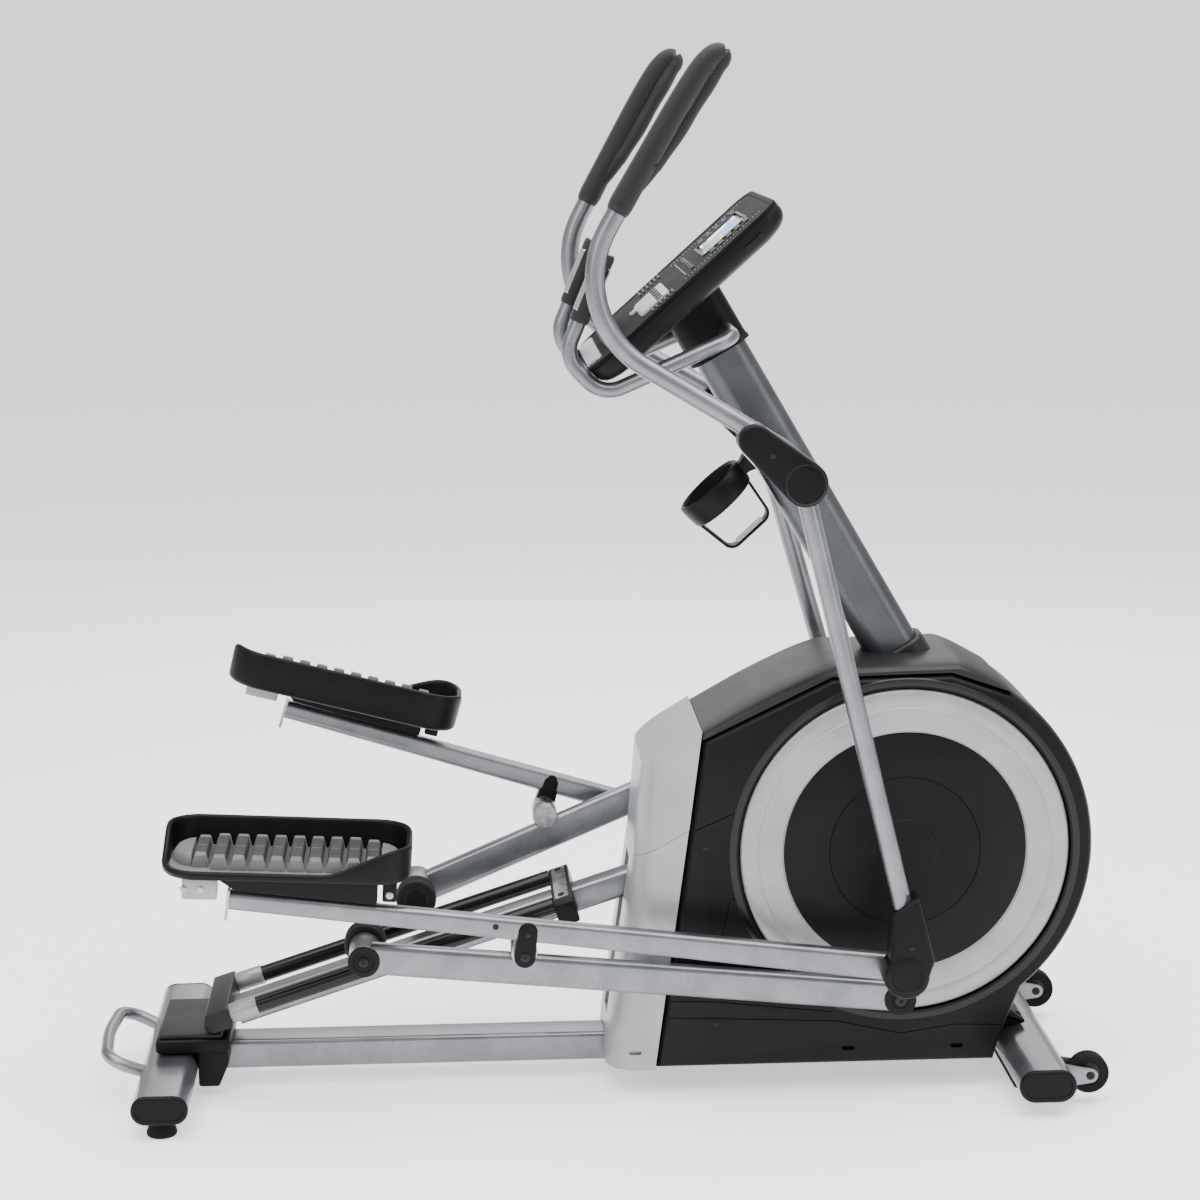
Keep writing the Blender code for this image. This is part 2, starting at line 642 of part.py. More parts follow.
def make_ramp(ramp):
    depth = 0.0450
    start = on_ramp(RAIL_START, RAIL_RISE - depth / 2)
    stop = on_ramp(0.800, RAIL_RISE - depth / 2)
    piece('ramp_beam', beam(rounded(0, 0, depth, 0.0460, 0.006, 2), start, stop), SILVER, ramp)
    for side in (-1, 1):
        ends = [(*on_ramp(t, RAIL_RISE), side * RAIL_Y) for t in (RAIL_START, RAIL_END)]
        rail = tube([(x, y, z) for x, z, y in ends], RAIL_RADIUS, 20)
        piece('ramp_rail_' + side_name(side), rail, BLACK, ramp)

    def across(name, t0, t1, up, low, finish):
        # an upside-down U over the beam, from rail to rail
        bm = bmesh.new()
        legs = [(-0.1050, low), (-0.0240, low), (-0.0240, 0.0022), (0.0240, 0.0022), (0.0240, low),
                (0.1050, low), (0.1050, up - 0.010), (0.0950, up), (-0.0950, up), (-0.1050, up - 0.010)]
        rings = [[bm.verts.new((on_ramp(t, n)[0], y, on_ramp(t, n)[1])) for y, n in legs] for t in (t0, t1)]
        return piece(name, skin(bm, rings), finish, ramp)

    across('ramp_front_bracket', RAIL_END + GAP, RAIL_END + 0.0360, 0.0140, -0.0330, BLACK)
    edge = RAIL_START - GAP
    block = arc(0.0, 0.0, 0.0170, pi, 1.5 * pi, 4) + [(edge, -0.0170), (edge, 0.0190), (-0.0100, 0.0190)]
    piece('ramp_rear_bracket', prism([on_ramp(t, n) for t, n in block], -0.1050, 0.1050), SILVER_ABS, ramp)


# ---------- one side of the linkage ----------

def make_roller(side, axle_body, roller_body, arm_body):
    x, z = roller_axle(side)
    profile = [(0.0104, -0.018), (0.0330, -0.018), (0.0360, -0.0150), (0.0350, -0.0125), (0.0298, -0.0050),
               (0.0298, 0.0050), (0.0350, 0.0125), (0.0360, 0.0150), (0.0330, 0.018), (0.0104, 0.018)]
    piece('roller_' + side_name(side), turned_ring([(r, side * RAIL_Y + y) for r, y in profile], x, z, 32),
          BLACK, roller_body)
    inner = RAIL_Y - 0.0190
    rows = [(0.0160, inner - 0.004), (0.0160, inner), (0.0098, inner), (0.0098, ROLLER_ARM_OUTER_Y + 0.0006),
            (0.0255, ROLLER_ARM_OUTER_Y + 0.0006), (0.0255, ROLLER_ARM_OUTER_Y + 0.0050)]
    rows = [(r, side * y) for r, y in rows]
    piece('roller_axle_' + side_name(side), turned_ring(rows, x, z, 28, closed=False), BLACK, axle_body)
    pin = crank_pin(side)
    angle = roller_arm_angle(side)
    low, high = both(side, ROLLER_ARM_INNER_Y, ROLLER_ARM_OUTER_Y)
    section = rounded(0, (low + high) / 2, 0.0550, high - low, 0.006, 2)
    drop = ROLLER_ARM_DROP[side]
    straight = beam(section, along((x, z), angle, 0.012, -drop), along(pin, angle, -0.004, -drop))
    arm = piece('roller_arm_' + side_name(side), straight, SILVER, arm_body)
    near = RAIL_Y + 0.0186
    add(arm, prism(circle(x, z, 0.0262, 28), *both(side, near, ROLLER_ARM_OUTER_Y)))
    cut(arm, prism(circle(x, z, 0.0104, 20), *both(side, near - 0.01, ROLLER_ARM_OUTER_Y + 0.01)))
    joint = arm_joint(side)
    reach = both(side, ROLLER_ARM_INNER_Y - 0.002, PEDAL_ARM_INNER_Y - 0.0006)
    add(arm, prism(circle(*joint, 0.0225, 24), *reach))
    reach = both(side, ROLLER_ARM_INNER_Y - 0.001, ROLLER_ARM_OUTER_Y + 0.0030)
    add(arm, prism(circle(*pin, 0.0265, 28), *reach))
    add(arm, prism(circle(*pin, 0.0120, 16), *both(side, DISC_OUTER_Y + 0.0006, ROLLER_ARM_INNER_Y + 0.002)))


def make_pedal_arm(side, arm_body):
    joint = arm_joint(side)
    pitch = PEDAL_ARM_PITCH[side]
    low, high = both(side, PEDAL_ARM_INNER_Y, PEDAL_ARM_OUTER_Y)
    section = rounded(0, (low + high) / 2, 0.0470, high - low, 0.006, 2)
    rear = along(joint, pitch, -PEDAL_ARM_REAR, PEDAL_ARM_ABOVE)
    front = along(joint, pitch, PEDAL_ARM_FRONT, PEDAL_ARM_ABOVE)
    bm = beam(section, front, rear, shrink=0.68)
    arm = piece('pedal_arm_' + side_name(side), bm, SILVER, arm_body)
    tab = capsule(along(joint, pitch, 0.0, 0.002), 0.0180, along(joint, pitch, 0.0, PEDAL_ARM_ABOVE), 0.0160)
    add(arm, prism(tab, *both(side, PEDAL_ARM_INNER_Y - GAP / 2, PEDAL_ARM_OUTER_Y + 0.004)))
    reach = both(side, PEDAL_ARM_INNER_Y + 0.0006, PEDAL_ARM_OUTER_Y - 0.0006)
    add(arm, prism(circle(*front, 0.0234, 20), *reach))
    end = [(-0.004, -0.034), (0.001, -0.034), (0.001, 0.018), (-0.004, 0.018)]
    add(arm, prism([along(rear, pitch, t, n) for t, n in end],
                   *both(side, PEDAL_ARM_INNER_Y + 0.001, PEDAL_ARM_OUTER_Y - 0.001)))


def make_pedal(side, pedal_body):
    # local frame: origin on the tilt bolt, +x forward along the tread, z up from it
    origin = pedal_pivot(side)
    angle = PEDAL_ARM_PITCH[side] + PEDAL_TILT[side]
    centre_y = side * PEDAL_Y
    at = (origin[0], centre_y, origin[1])
    lie = -angle
    inner = -side  # local y direction that points to the machine's middle

    def outline(grow, steps=5):
        return rounded(-0.1720, 0.0, 0.4140 + 2 * grow, 0.1840 + 2 * grow, 0.060 + grow, steps)

    base = 0.0330
    tray = plate(outline(0.0), base, base + 0.0660, lie, at)
    tray = piece('pedal_tray_' + side_name(side), tray, BLACK, pedal_body)
    cut(tray, plate(outline(-0.0060), base + 0.0040, base + 0.10, lie, at))
    # the wall falls from its full height on the inner side to a low edge on the outer side
    bm = bmesh.new()
    fall = [(inner * 0.0700, 0.0700), (-inner * 0.0500, 0.0160), (-inner * 0.20, 0.0160),
            (-inner * 0.20, 0.12), (inner * 0.0700, 0.12)]
    rings = [[bm.verts.new((x, y, base + z)) for y, z in fall] for x in (-0.46, 0.10)]
    skin(bm, rings)
    bm.transform(Matrix.Translation(at) @ Matrix.Rotation(lie, 4, 'Y'))
    cut(tray, bm)
    arm_y = side * ((PEDAL_ARM_INNER_Y + PEDAL_ARM_OUTER_Y) / 2 - PEDAL_Y)
    lug = rounded(0.0, arm_y, 0.024, 0.024, 0.003, 2)
    add(tray, plate(lug, -0.0040, base + 0.001, lie, at))
    block = rounded(-0.3270, arm_y, 0.0580, 0.0420, 0.006, 2)
    add(tray, plate(block, -0.0060, base + 0.001, lie, at))
    pad = plate(outline(-0.0066), base + 0.0044, base + 0.0300, lie, at)
    piece('pedal_pad_' + side_name(side), pad, PAD_GREY, pedal_body)


def make_handle(side, handle_body):
    swing = HANDLE_SWING[side] - HANDLE_SWING[-1]
    centre_y = side * HANDLE_Y

    def swung(point):
        # the left handle stands a little further back than the right one
        dx, dz = point[0] - PIVOT_X, point[1] - PIVOT_Z
        c, s = cos(swing), sin(swing)
        return (PIVOT_X + c * dx - s * dz, PIVOT_Z + s * dx + c * dz)

    def at_handle(point):
        x, z = swung(point)
        return (x, centre_y, z)

    foot = handle_foot(side)
    line = filleted([at_handle(p) for p in (GRIP_START, BEND, ELBOW, TUBE_END)], [0.164, 0.080], radians(9))
    made = piece('handle_tube_' + side_name(side), tube(line, HANDLE_TUBE, 14), SILVER, handle_body)
    add(made, prism(circle(*foot, 0.0130, 16), *both(side, PEDAL_ARM_OUTER_Y + 0.0046, HANDLE_Y)))
    channel = band([(p.x, p.z) for p in line], HANDLE_TUBE + 0.0011)
    low, high = HANDLE_Y - 0.0280, HANDLE_Y + 0.0280
    slot = both(side, HANDLE_Y - HANDLE_TUBE - 0.0008, HANDLE_Y + HANDLE_TUBE + 0.0008)

    sleeve = capsule((PIVOT_X, PIVOT_Z), 0.0370, swung((0.2420, 1.1660)), 0.0270)
    shell = prism(sleeve, *both(side, low, high))
    cover = piece('handle_elbow_' + side_name(side), shell, BLACK, handle_body)
    cut(cover, prism(channel, *slot))
    cut(cover, prism(circle(PIVOT_X, PIVOT_Z, 0.0128, 16), *both(side, low - 0.01, HANDLE_Y - 0.010)))
    shoe = arc(FOOT_CAP[0], FOOT_CAP[1], 0.0380, radians(136), radians(362), 16) + FOOT_COVER
    cover = piece('handle_foot_cover_' + side_name(side),
                  prism([swung(p) for p in shoe], *both(side, low, high)), BLACK, handle_body)
    cut(cover, prism(channel, *slot))
    cut(cover, prism(circle(*foot, 0.0138, 16), *both(side, low - 0.01, HANDLE_Y)))

    start = Vector(at_handle(GRIP_START))
    d = (start - Vector(at_handle(BEND))).normalized()
    start += d * GAP
    lift = Vector((d.z, 0, -d.x))
    bm = bmesh.new()
    rings = []
    for t, rear, front, thick in ((0.0, 0.018, 0.022, 0.0175), (0.028, 0.019, 0.026, 0.0180),
                                  (0.110, 0.018, 0.036, 0.0175), (0.230, 0.016, 0.038, 0.0170),
                                  (0.290, 0.010, 0.034, 0.0165), (0.308, 0.000, 0.022, 0.0120)):
        middle = start + d * t + lift * (front - rear) / 2
        ring = rounded(0, 0, rear + front, 2 * thick, thick * 0.95 if rear else 0.010, 4)
        rings.append([bm.verts.new(middle + lift * a + Vector((0, b, 0))) for a, b in ring])
    piece('handle_grip_' + side_name(side), skin(bm, rings), RUBBER, handle_body)


def make_wheel(side, wheel_body):
    half = [(WHEEL_RADIUS, 0.0110), (0.0320, 0.0145), (0.0290, 0.0120), (0.0100, 0.0145), (0.0054, 0.0140)]
    profile = [(r, -y) for r, y in reversed(half)] + half
    wheel = turned_ring([(r, side * WHEEL_Y + y) for r, y in profile], WHEEL_X, WHEEL_Z, 32)
    piece('transport_wheel_' + side_name(side), wheel, RUBBER, wheel_body)


def make_foot(side, foot_body):
    top = REAR_BAR_Z - 0.0245 - GAP
    bm = bmesh.new()
    rows = ((0.0250, 0.0), (0.0260, 0.006), (0.0190, top - 0.008), (0.0190, top), (STUD_RADIUS, top),
            (STUD_RADIUS, top + 0.0180))
    rings = [[bm.verts.new((x, y, z)) for x, y in circle(REAR_BAR_X, side * FOOT_Y, r, 28)] for r, z in rows]
    piece('leveling_foot_' + side_name(side), skin(bm, rings), RUBBER, foot_body)


frame = centre('frame', 0, 0, 0)
make_stabilisers(frame)
make_base(frame)
mast_top = make_mast(frame)
make_housing(frame)
make_drive(frame, centre('crank_spin', CRANK_X, 0, CRANK_Z),
           centre('flywheel_spin', FLYWHEEL_X, 0, FLYWHEEL_Z))
make_console(frame, mast_top, centre('key', on_face(0.29, 0)[0], 0, on_face(0.29, 0)[1]))
make_pulse_bar(frame)
make_bottle_holder(frame)
make_ramp(centre('ramp', HINGE_X, 0, HINGE_Z))
for side in (-1, 1):
    name = side_name(side)
    axle_x, axle_z = roller_axle(side)
    joint_x, joint_z = arm_joint(side)
    tilt_x, tilt_z = pedal_pivot(side)
    make_roller(side, centre(name + '_axle', axle_x, side * RAIL_Y, axle_z),
                centre(name + '_roller_spin', axle_x, side * RAIL_Y, axle_z),
                centre(name + '_roller_arm', axle_x, side * ROLLER_ARM_INNER_Y, axle_z))
    make_pedal_arm(side, centre(name + '_pedal_arm', joint_x, side * PEDAL_ARM_INNER_Y, joint_z))
    make_pedal(side, centre(name + '_pedal', tilt_x, side * PEDAL_ARM_INNER_Y, tilt_z))
    make_handle(side, centre(name + '_handle', PIVOT_X, side * HANDLE_Y, PIVOT_Z))
    make_wheel(side, centre(name + '_wheel', WHEEL_X, side * WHEEL_Y, WHEEL_Z))
    make_foot(side, centre(name + '_foot', REAR_BAR_X, side * FOOT_Y, 0))
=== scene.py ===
import json
from math import acos, atan2, ceil, cos, hypot, pi, radians, sin, tan

import bmesh
import bpy
from mathutils import Matrix, Vector


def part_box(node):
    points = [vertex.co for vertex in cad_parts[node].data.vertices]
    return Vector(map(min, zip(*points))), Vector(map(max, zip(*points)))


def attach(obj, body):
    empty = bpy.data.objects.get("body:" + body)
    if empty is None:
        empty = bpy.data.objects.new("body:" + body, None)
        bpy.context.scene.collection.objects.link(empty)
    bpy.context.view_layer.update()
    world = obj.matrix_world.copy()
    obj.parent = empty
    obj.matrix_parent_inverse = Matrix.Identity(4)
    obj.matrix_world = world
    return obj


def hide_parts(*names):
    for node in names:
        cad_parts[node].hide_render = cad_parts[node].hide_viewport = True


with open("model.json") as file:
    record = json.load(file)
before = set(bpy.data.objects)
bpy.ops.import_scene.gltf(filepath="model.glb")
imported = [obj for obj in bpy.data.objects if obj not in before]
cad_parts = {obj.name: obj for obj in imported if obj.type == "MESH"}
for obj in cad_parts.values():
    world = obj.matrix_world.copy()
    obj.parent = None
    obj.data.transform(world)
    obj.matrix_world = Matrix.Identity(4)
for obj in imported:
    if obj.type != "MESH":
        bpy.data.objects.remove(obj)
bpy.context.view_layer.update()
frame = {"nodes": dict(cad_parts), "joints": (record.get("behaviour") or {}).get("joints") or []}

sides = ((-1, "right"), (1, "left"))
pivots = {joint["name"]: Vector(joint["pos_m"]) for joint in frame["joints"] if "pos_m" in joint}


# colours and finishes
def linear(hexText):
    # sRGB hex to the linear values the shader wants
    parts = [int(hexText[i:i + 2], 16) / 255 for i in (1, 3, 5)]
    return [p / 12.92 if p <= 0.04045 else ((p + 0.055) / 1.055) ** 2.4 for p in parts] + [1.0]


def addNode(tree, kind, settings=None, links=None):
    # lower-case settings are the node's own values, the others are its sockets
    made = tree.nodes.new(kind)
    for key, value in (settings or {}).items():
        if isinstance(key, str) and hasattr(made, key):
            setattr(made, key, value)
        else:
            made.inputs[key].default_value = value
    for key, source in (links or {}).items():
        tree.links.new(source, made.inputs[key])
    return made


def ramp(tree, source, stops):
    made = addNode(tree, "ShaderNodeValToRGB", links={"Fac": source})
    bar = made.color_ramp
    for i, (place, colour) in enumerate(stops):
        spot = bar.elements[i] if i < 2 else bar.elements.new(place)
        spot.position = place
        spot.color = colour
    return made.outputs["Color"]


# sizes are in millimetres: grain is the bump, cloud the slow change in tone, flake the sparkle;
# depth and wear are shares of full strength, spread is how far the roughness wanders
usual = dict(metallic=0.0, coat=0.0, specular=0.5, sheen=0.0, flake=0.0)
finishes = {
    # steel, silver powder coat: metal flakes in a clear coat give a fine sparkle and soft long highlights
    "silverPowderCoatSteel": dict(slot="silver_paint", light="#7d7f83", dark="#6e7074", metallic=0.85,
                                  roughness=0.33, spread=0.07, grain=2.2, depth=0.10, cloud=60, flake=1.6,
                                  flakeGain=0.16, coat=0.25, wear=0.25),
    # steel, graphite powder coat: darker, with the slight orange peel of a thick coat
    "graphitePowderCoatSteel": dict(slot="grey_paint", light="#515357", dark="#45474b", metallic=0.80,
                                    roughness=0.38, spread=0.07, grain=2.4, depth=0.14, cloud=80, flake=1.6,
                                    flakeGain=0.14, coat=0.2, wear=0.2),
    # ABS, moulded with a spark-eroded texture: deep black with a broad dull shine
    "blackMouldedAbs": dict(slot="black_plastic", light="#0d0d0f", dark="#08080a", specular=0.12,
                            roughness=0.40, spread=0.08, grain=1.4, depth=0.16, cloud=90, wear=0.35),
    # ABS, moulded in a polished tool: near-black that mirrors the lights in soft bands
    "glossBlackAbs": dict(slot="black_plastic", light="#0a0a0c", dark="#070708", specular=0.25,
                          roughness=0.26, spread=0.05, grain=6.0, depth=0.03, cloud=120, coat=0.05, wear=0.2),
    # ABS, moulded in an etched tool: flat black that stays dark when seen along its face
    "etchedBlackAbs": dict(slot="black_plastic", light="#0c0c0e", dark="#08080a", specular=0.05,
                           roughness=0.60, spread=0.06, grain=1.6, depth=0.12, cloud=80, wear=0.2),
    # ABS, charcoal masterbatch, moulded: reads grey beside the black shells
    "charcoalMouldedAbs": dict(slot="dark_plastic", light="#161618", dark="#101012", specular=0.25,
                               roughness=0.45, spread=0.08, grain=1.6, depth=0.2, cloud=90, wear=0.3),
    # ABS with aluminium pigment, moulded: light satin grey with faint flow marks
    "silverPigmentAbs": dict(slot="silver_plastic", light="#96989b", dark="#8a8c8f", metallic=0.35,
                             roughness=0.37, spread=0.06, grain=3.0, depth=0.05, cloud=70, flake=1.8,
                             flakeGain=0.08, coat=0.1, wear=0.1),
    # thermoplastic elastomer, moulded over the bars: dull black skin with a leathery pebble
    "blackElastomer": dict(slot="rubber", light="#0f0f11", dark="#0a0a0b", specular=0.25, roughness=0.62,
                           spread=0.10, grain=2.6, depth=0.45, cloud=50, sheen=0.15, wear=0.3),
    # natural rubber, cured: the dullest black, slightly dusty
    "curedRubber": dict(slot="rubber", light="#0f0f0f", dark="#0a0a0a", specular=0.2, roughness=0.8,
                        spread=0.08, grain=2.0, depth=0.4, cloud=40, wear=0.2),
    # rubber, cured with a grey filler: worn-looking charcoal on top of the tread
    "dustyGreyRubber": dict(slot="rubber", light="#38383a", dark="#2b2b2d", specular=0.25, roughness=0.75,
                            spread=0.08, grain=2.0, depth=0.5, cloud=20, wear=0.3),
    # EVA foam, compression moulded: pale grey with a chalky skin
    "greyMouldedEva": dict(slot="pad", light="#5c5e60", dark="#505254", roughness=0.68, spread=0.08,
                           grain=2.0, depth=0.35, cloud=35, sheen=0.1, wear=0.15),
    # zinc-plated steel, turned: bright grey with a slight mottle
    "zincPlatedSteel": dict(slot="steel", light="#b9babc", dark="#8f9194", metallic=1.0, roughness=0.30,
                            spread=0.12, grain=1.6, depth=0.15, cloud=12, wear=0.1),
    # steel, black oxide: screws that catch light only on their rims
    "blackOxideSteel": dict(slot="steel", light="#26272a", dark="#191a1c", metallic=0.8, roughness=0.38,
                            spread=0.1, grain=1.2, depth=0.2, cloud=8, wear=0.6),
    # steel, chrome plated: mirror with pale edges
    "chromePlatedSteel": dict(slot="steel", light="#dcdde0", dark="#c9cacd", metallic=1.0, roughness=0.09,
                              spread=0.03, grain=8.0, depth=0.02, cloud=30, wear=0.0),
    # grey cast iron, machined: dark with turning lines
    "machinedCastIron": dict(slot="cast_iron", light="#6e6c69", dark="#55534f", metallic=0.9,
                             roughness=0.42, spread=0.12, grain=1.8, depth=0.5, cloud=20, wear=0.3),
    # polycarbonate window, hard coated: dark glassy pane
    "hardCoatPolycarbonate": dict(slot="display", light="#07080b", dark="#050608", specular=0.08,
                                  roughness=0.10, spread=0.02, grain=10.0, depth=0.01, cloud=60, coat=0.1,
                                  wear=0.0),
}


def makeFinish(name):
    look = {**usual, **finishes[name]}
    made = bpy.data.materials.new(name)
    made.use_nodes = True
    tree = made.node_tree
    tree.nodes.clear()
    place = addNode(tree, "ShaderNodeTexCoord").outputs["Object"]
    cloud = addNode(tree, "ShaderNodeTexNoise", {"Scale": 1000 / look["cloud"], "Detail": 4.0},
                    {"Vector": place}).outputs["Fac"]
    # the grain is drawn a few times coarser than the real 0.2 to 0.5 mm, so that it shows
    grain = addNode(tree, "ShaderNodeTexNoise",
                    {"Scale": 1000 / look["grain"], "Detail": 3.0, "Roughness": 0.6},
                    {"Vector": place}).outputs["Fac"]
    colour = ramp(tree, cloud, ((0.35, linear(look["dark"])), (0.65, linear(look["light"]))))
    if look["flake"]:
        flakes = addNode(tree, "ShaderNodeTexVoronoi", {"Scale": 1000 / look["flake"]}, {"Vector": place})
        gain = look["flakeGain"]
        shade = ramp(tree, flakes.outputs["Color"],
                     ((0.0, (1 - gain,) * 3 + (1,)), (1.0, (1 + gain,) * 3 + (1,))))
        colour = addNode(tree, "ShaderNodeMix", {"data_type": "RGBA", "blend_type": "MULTIPLY", 0: 1.0},
                         {6: colour, 7: shade}).outputs[2]
    # rubbed edges: lighter where the surface turns sharply outwards
    edge = addNode(tree, "ShaderNodeNewGeometry").outputs["Pointiness"]
    rubbed = ramp(tree, edge, ((0.52, (0, 0, 0, 1)), (0.62, (look["wear"],) * 3 + (1,))))
    worn = [min(1.0, c * 1.5 + 0.012) for c in linear(look["light"])[:3]] + [1.0]
    colour = addNode(tree, "ShaderNodeMix", {"data_type": "RGBA", 7: worn}, {0: rubbed, 6: colour}).outputs[2]
    low, high = look["roughness"] - look["spread"] / 2, look["roughness"] + look["spread"] / 2
    rough = addNode(tree, "ShaderNodeMapRange",
                    {"From Min": 0.3, "From Max": 0.7, "To Min": low, "To Max": high},
                    {"Value": cloud}).outputs["Result"]
    bump = addNode(tree, "ShaderNodeBump", {"Strength": look["depth"], "Distance": 0.0004}, {"Height": grain})
    shader = addNode(tree, "ShaderNodeBsdfPrincipled",
                     {"Metallic": look["metallic"], "Coat Weight": look["coat"], "Coat Roughness": 0.15,
                      "Specular IOR Level": look["specular"], "Sheen Weight": look["sheen"]},
                     {"Base Color": colour, "Roughness": rough, "Normal": bump.outputs["Normal"]})
    addNode(tree, "ShaderNodeOutputMaterial", links={"Surface": shader.outputs["BSDF"]})
    return made


materials = {name: makeFinish(name) for name in finishes}
print("finishes made:", len(materials))


# outlines, all in metres
def arc(cx, cz, radius, start, stop, steps):
    return [(cx + radius * cos(start + (stop - start) * i / steps),
             cz + radius * sin(start + (stop - start) * i / steps)) for i in range(steps + 1)]


def circle(cx, cz, radius, count=64):
    return arc(cx, cz, radius, 0, 2 * pi, count)[:-1]


def obround(cx, cz, width, height, steps=18):
    radius = height / 2
    reach = width / 2 - radius
    return (arc(cx + reach, cz, radius, -pi / 2, pi / 2, steps)
            + arc(cx - reach, cz, radius, pi / 2, 3 * pi / 2, steps))


def roundRect(cx, cz, width, height, radius, steps=8):
    spots = ((1, -1, -pi / 2), (1, 1, 0), (-1, 1, pi / 2), (-1, -1, pi))
    points = []
    for sx, sz, start in spots:
        points += arc(cx + sx * (width / 2 - radius), cz + sz * (height / 2 - radius), radius, start,
                      start + pi / 2, steps)
    return points


def denser(outline, step=0.006):
    # extra points along the straight runs, so that a height can vary along them
    points = []
    for i, (x, z) in enumerate(outline):
        nx, nz = outline[(i + 1) % len(outline)]
        count = max(1, round(hypot(nx - x, nz - z) / step))
        points += [(x + (nx - x) * k / count, z + (nz - z) * k / count) for k in range(count)]
    return points


def capsule(c1, r1, c2, r2, steps=24):
    dx, dz = c2[0] - c1[0], c2[1] - c1[1]
    facing = atan2(dz, dx)
    half = acos((r1 - r2) / hypot(dx, dz))
    return (arc(c2[0], c2[1], r2, facing - half, facing + half, steps)
            + arc(c1[0], c1[1], r1, facing + half, facing + 2 * pi - half, steps))


def inset(outline, distance):
    # a closed outline pulled in by a distance, or pushed out by a negative one
    if not distance:
        return outline
    moved = []
    for i, (x, z) in enumerate(outline):
        px, pz = outline[i - 1]
        nx, nz = outline[(i + 1) % len(outline)]
        a = Vector((x - px, z - pz)).normalized()
        b = Vector((nx - x, nz - z)).normalized()
        normal = Vector((-a.y - b.y, a.x + b.x)).normalized()
        reach = distance / max(0.35, normal.dot(Vector((-a.y, a.x))))  # the limit keeps sharp corners short
        moved.append((x + normal.x * reach, z + normal.y * reach))
    return moved


def filleted(corners, radii, step=radians(4)):
    # a line through the corners, each inner corner rounded by its radius
    points = [Vector(corners[0])]
    for i, radius in enumerate(radii, start=1):
        corner = Vector(corners[i])
        back = (Vector(corners[i - 1]) - corner).normalized()
        ahead = (Vector(corners[i + 1]) - corner).normalized()
        inner = back.angle(ahead)
        turn = pi - inner
        reach = radius / tan(inner / 2)
        middle = corner + (back + ahead).normalized() * (radius / sin(inner / 2))
        count = max(4, ceil(turn / step))
        start, stop = corner + back * reach - middle, corner + ahead * reach - middle
        for k in range(count + 1):
            share = k / count
            points.append(middle + (start * sin(turn * (1 - share)) + stop * sin(turn * share)) / sin(turn))
    points.append(Vector(corners[-1]))
    return points


def roundCorners(corners, radius, steps=6):
    # a closed outline with every corner rounded by the same radius
    points = []
    for i, corner in enumerate(corners):
        c = Vector(corner)
        back = Vector(corners[i - 1]) - c
        ahead = Vector(corners[(i + 1) % len(corners)]) - c
        angle = back.angle(ahead)
        reach = min(radius / tan(angle / 2), back.length * 0.45, ahead.length * 0.45)
        start, stop = c + back.normalized() * reach, c + ahead.normalized() * reach
        for k in range(steps + 1):
            t = k / steps
            p = start * (1 - t) ** 2 + c * 2 * t * (1 - t) + stop * t ** 2
            points.append((p.x, p.y))
    return points


def along(start, angle, forward, up=0.0):
    return (start[0] + forward * cos(angle) - up * sin(angle), start[1] + forward * sin(angle)
            + up * cos(angle))


def turns(count):
    return [2 * pi * i / count for i in range(count)]


def smoothLine(points, steps):
    # a Catmull-Rom curve through the points
    line = []
    for i in range(len(points) - 1):
        p0, p1, p2, p3 = points[max(i - 1, 0)], points[i], points[i + 1], points[min(i + 2, len(points) - 1)]
        for k in range(steps):
            t = k / steps
            line.append(0.5 * (2 * p1 + (p2 - p0) * t + (2 * p0 - 5 * p1 + 4 * p2 - p3) * t ** 2
                               + (3 * p1 - 3 * p2 + p3 - p0) * t ** 3))
    return line + [points[-1]]


def heightAt(line, x):
    # height of a line of points at x
    for (x0, z0), (x1, z1) in zip(line, line[1:]):
        if x0 <= x <= x1:
            return z0 + (z1 - z0) * (x - x0) / (x1 - x0)
    return line[0][1] if x < line[0][0] else line[-1][1]


def smooth(value):
    value = max(0.0, min(1.0, value))
    return value * value * (3 - 2 * value)


# solids
def skin(rings, closed=False, caps=True):
    bm = bmesh.new()
    rings = [[bm.verts.new(p) for p in ring] for ring in rings]
    pairs = list(zip(rings, rings[1:])) + ([(rings[-1], rings[0])] if closed else [])
    for one, two in pairs:
        for i in range(len(one)):
            j = (i + 1) % len(one)
            bm.faces.new((one[i], one[j], two[j], two[i]))
    if caps and not closed:
        bm.faces.new(rings[0][::-1])
        bm.faces.new(rings[-1])
    bmesh.ops.recalc_face_normals(bm, faces=bm.faces[:])
    return bm


def softened(bm, width, segments=3, limit=radians(30)):
    # rounds every edge sharper than the limit
    bmesh.ops.dissolve_degenerate(bm, dist=1e-6, edges=bm.edges[:])
    edges = [e for e in bm.edges if len(e.link_faces) == 2 and e.calc_face_angle(0.0) > limit]
    bmesh.ops.bevel(bm, geom=edges, offset=width, segments=segments, profile=0.5, affect="EDGES",
                    clamp_overlap=True)
    return bm


def stacked(outline, rows, side=1):
    # the outline in x and z at the y of every row, pulled in by the row's distance
    return skin([[(x, side * y, z) for x, z in inset(outline, d)] for y, d in rows])


def extrude(outline, y0, y1, edge=0.0, segments=3):
    # an outline in x and z, carried from y0 to y1, with rounded rims
    low, high = min(y0, y1), max(y0, y1)
    if not edge:
        return stacked(outline, ((low, 0.0), (high, 0.0)))
    bends = [pi / 2 * k / segments for k in range(segments, -1, -1)]
    rim = [(low + edge * (1 - sin(bend)), edge * (1 - cos(bend))) for bend in bends]
    return stacked(outline, rim + [(high + low - y, d) for y, d in rim[::-1]])


def lathe(profile, cx, cz, side=1, count=96, closed=False):
    # (radius, y) points spun about the line parallel to Y through (cx, cz)
    return skin([[(cx + r * cos(a), side * y, cz + r * sin(a)) for a in turns(count)] for r, y in profile],
                closed)


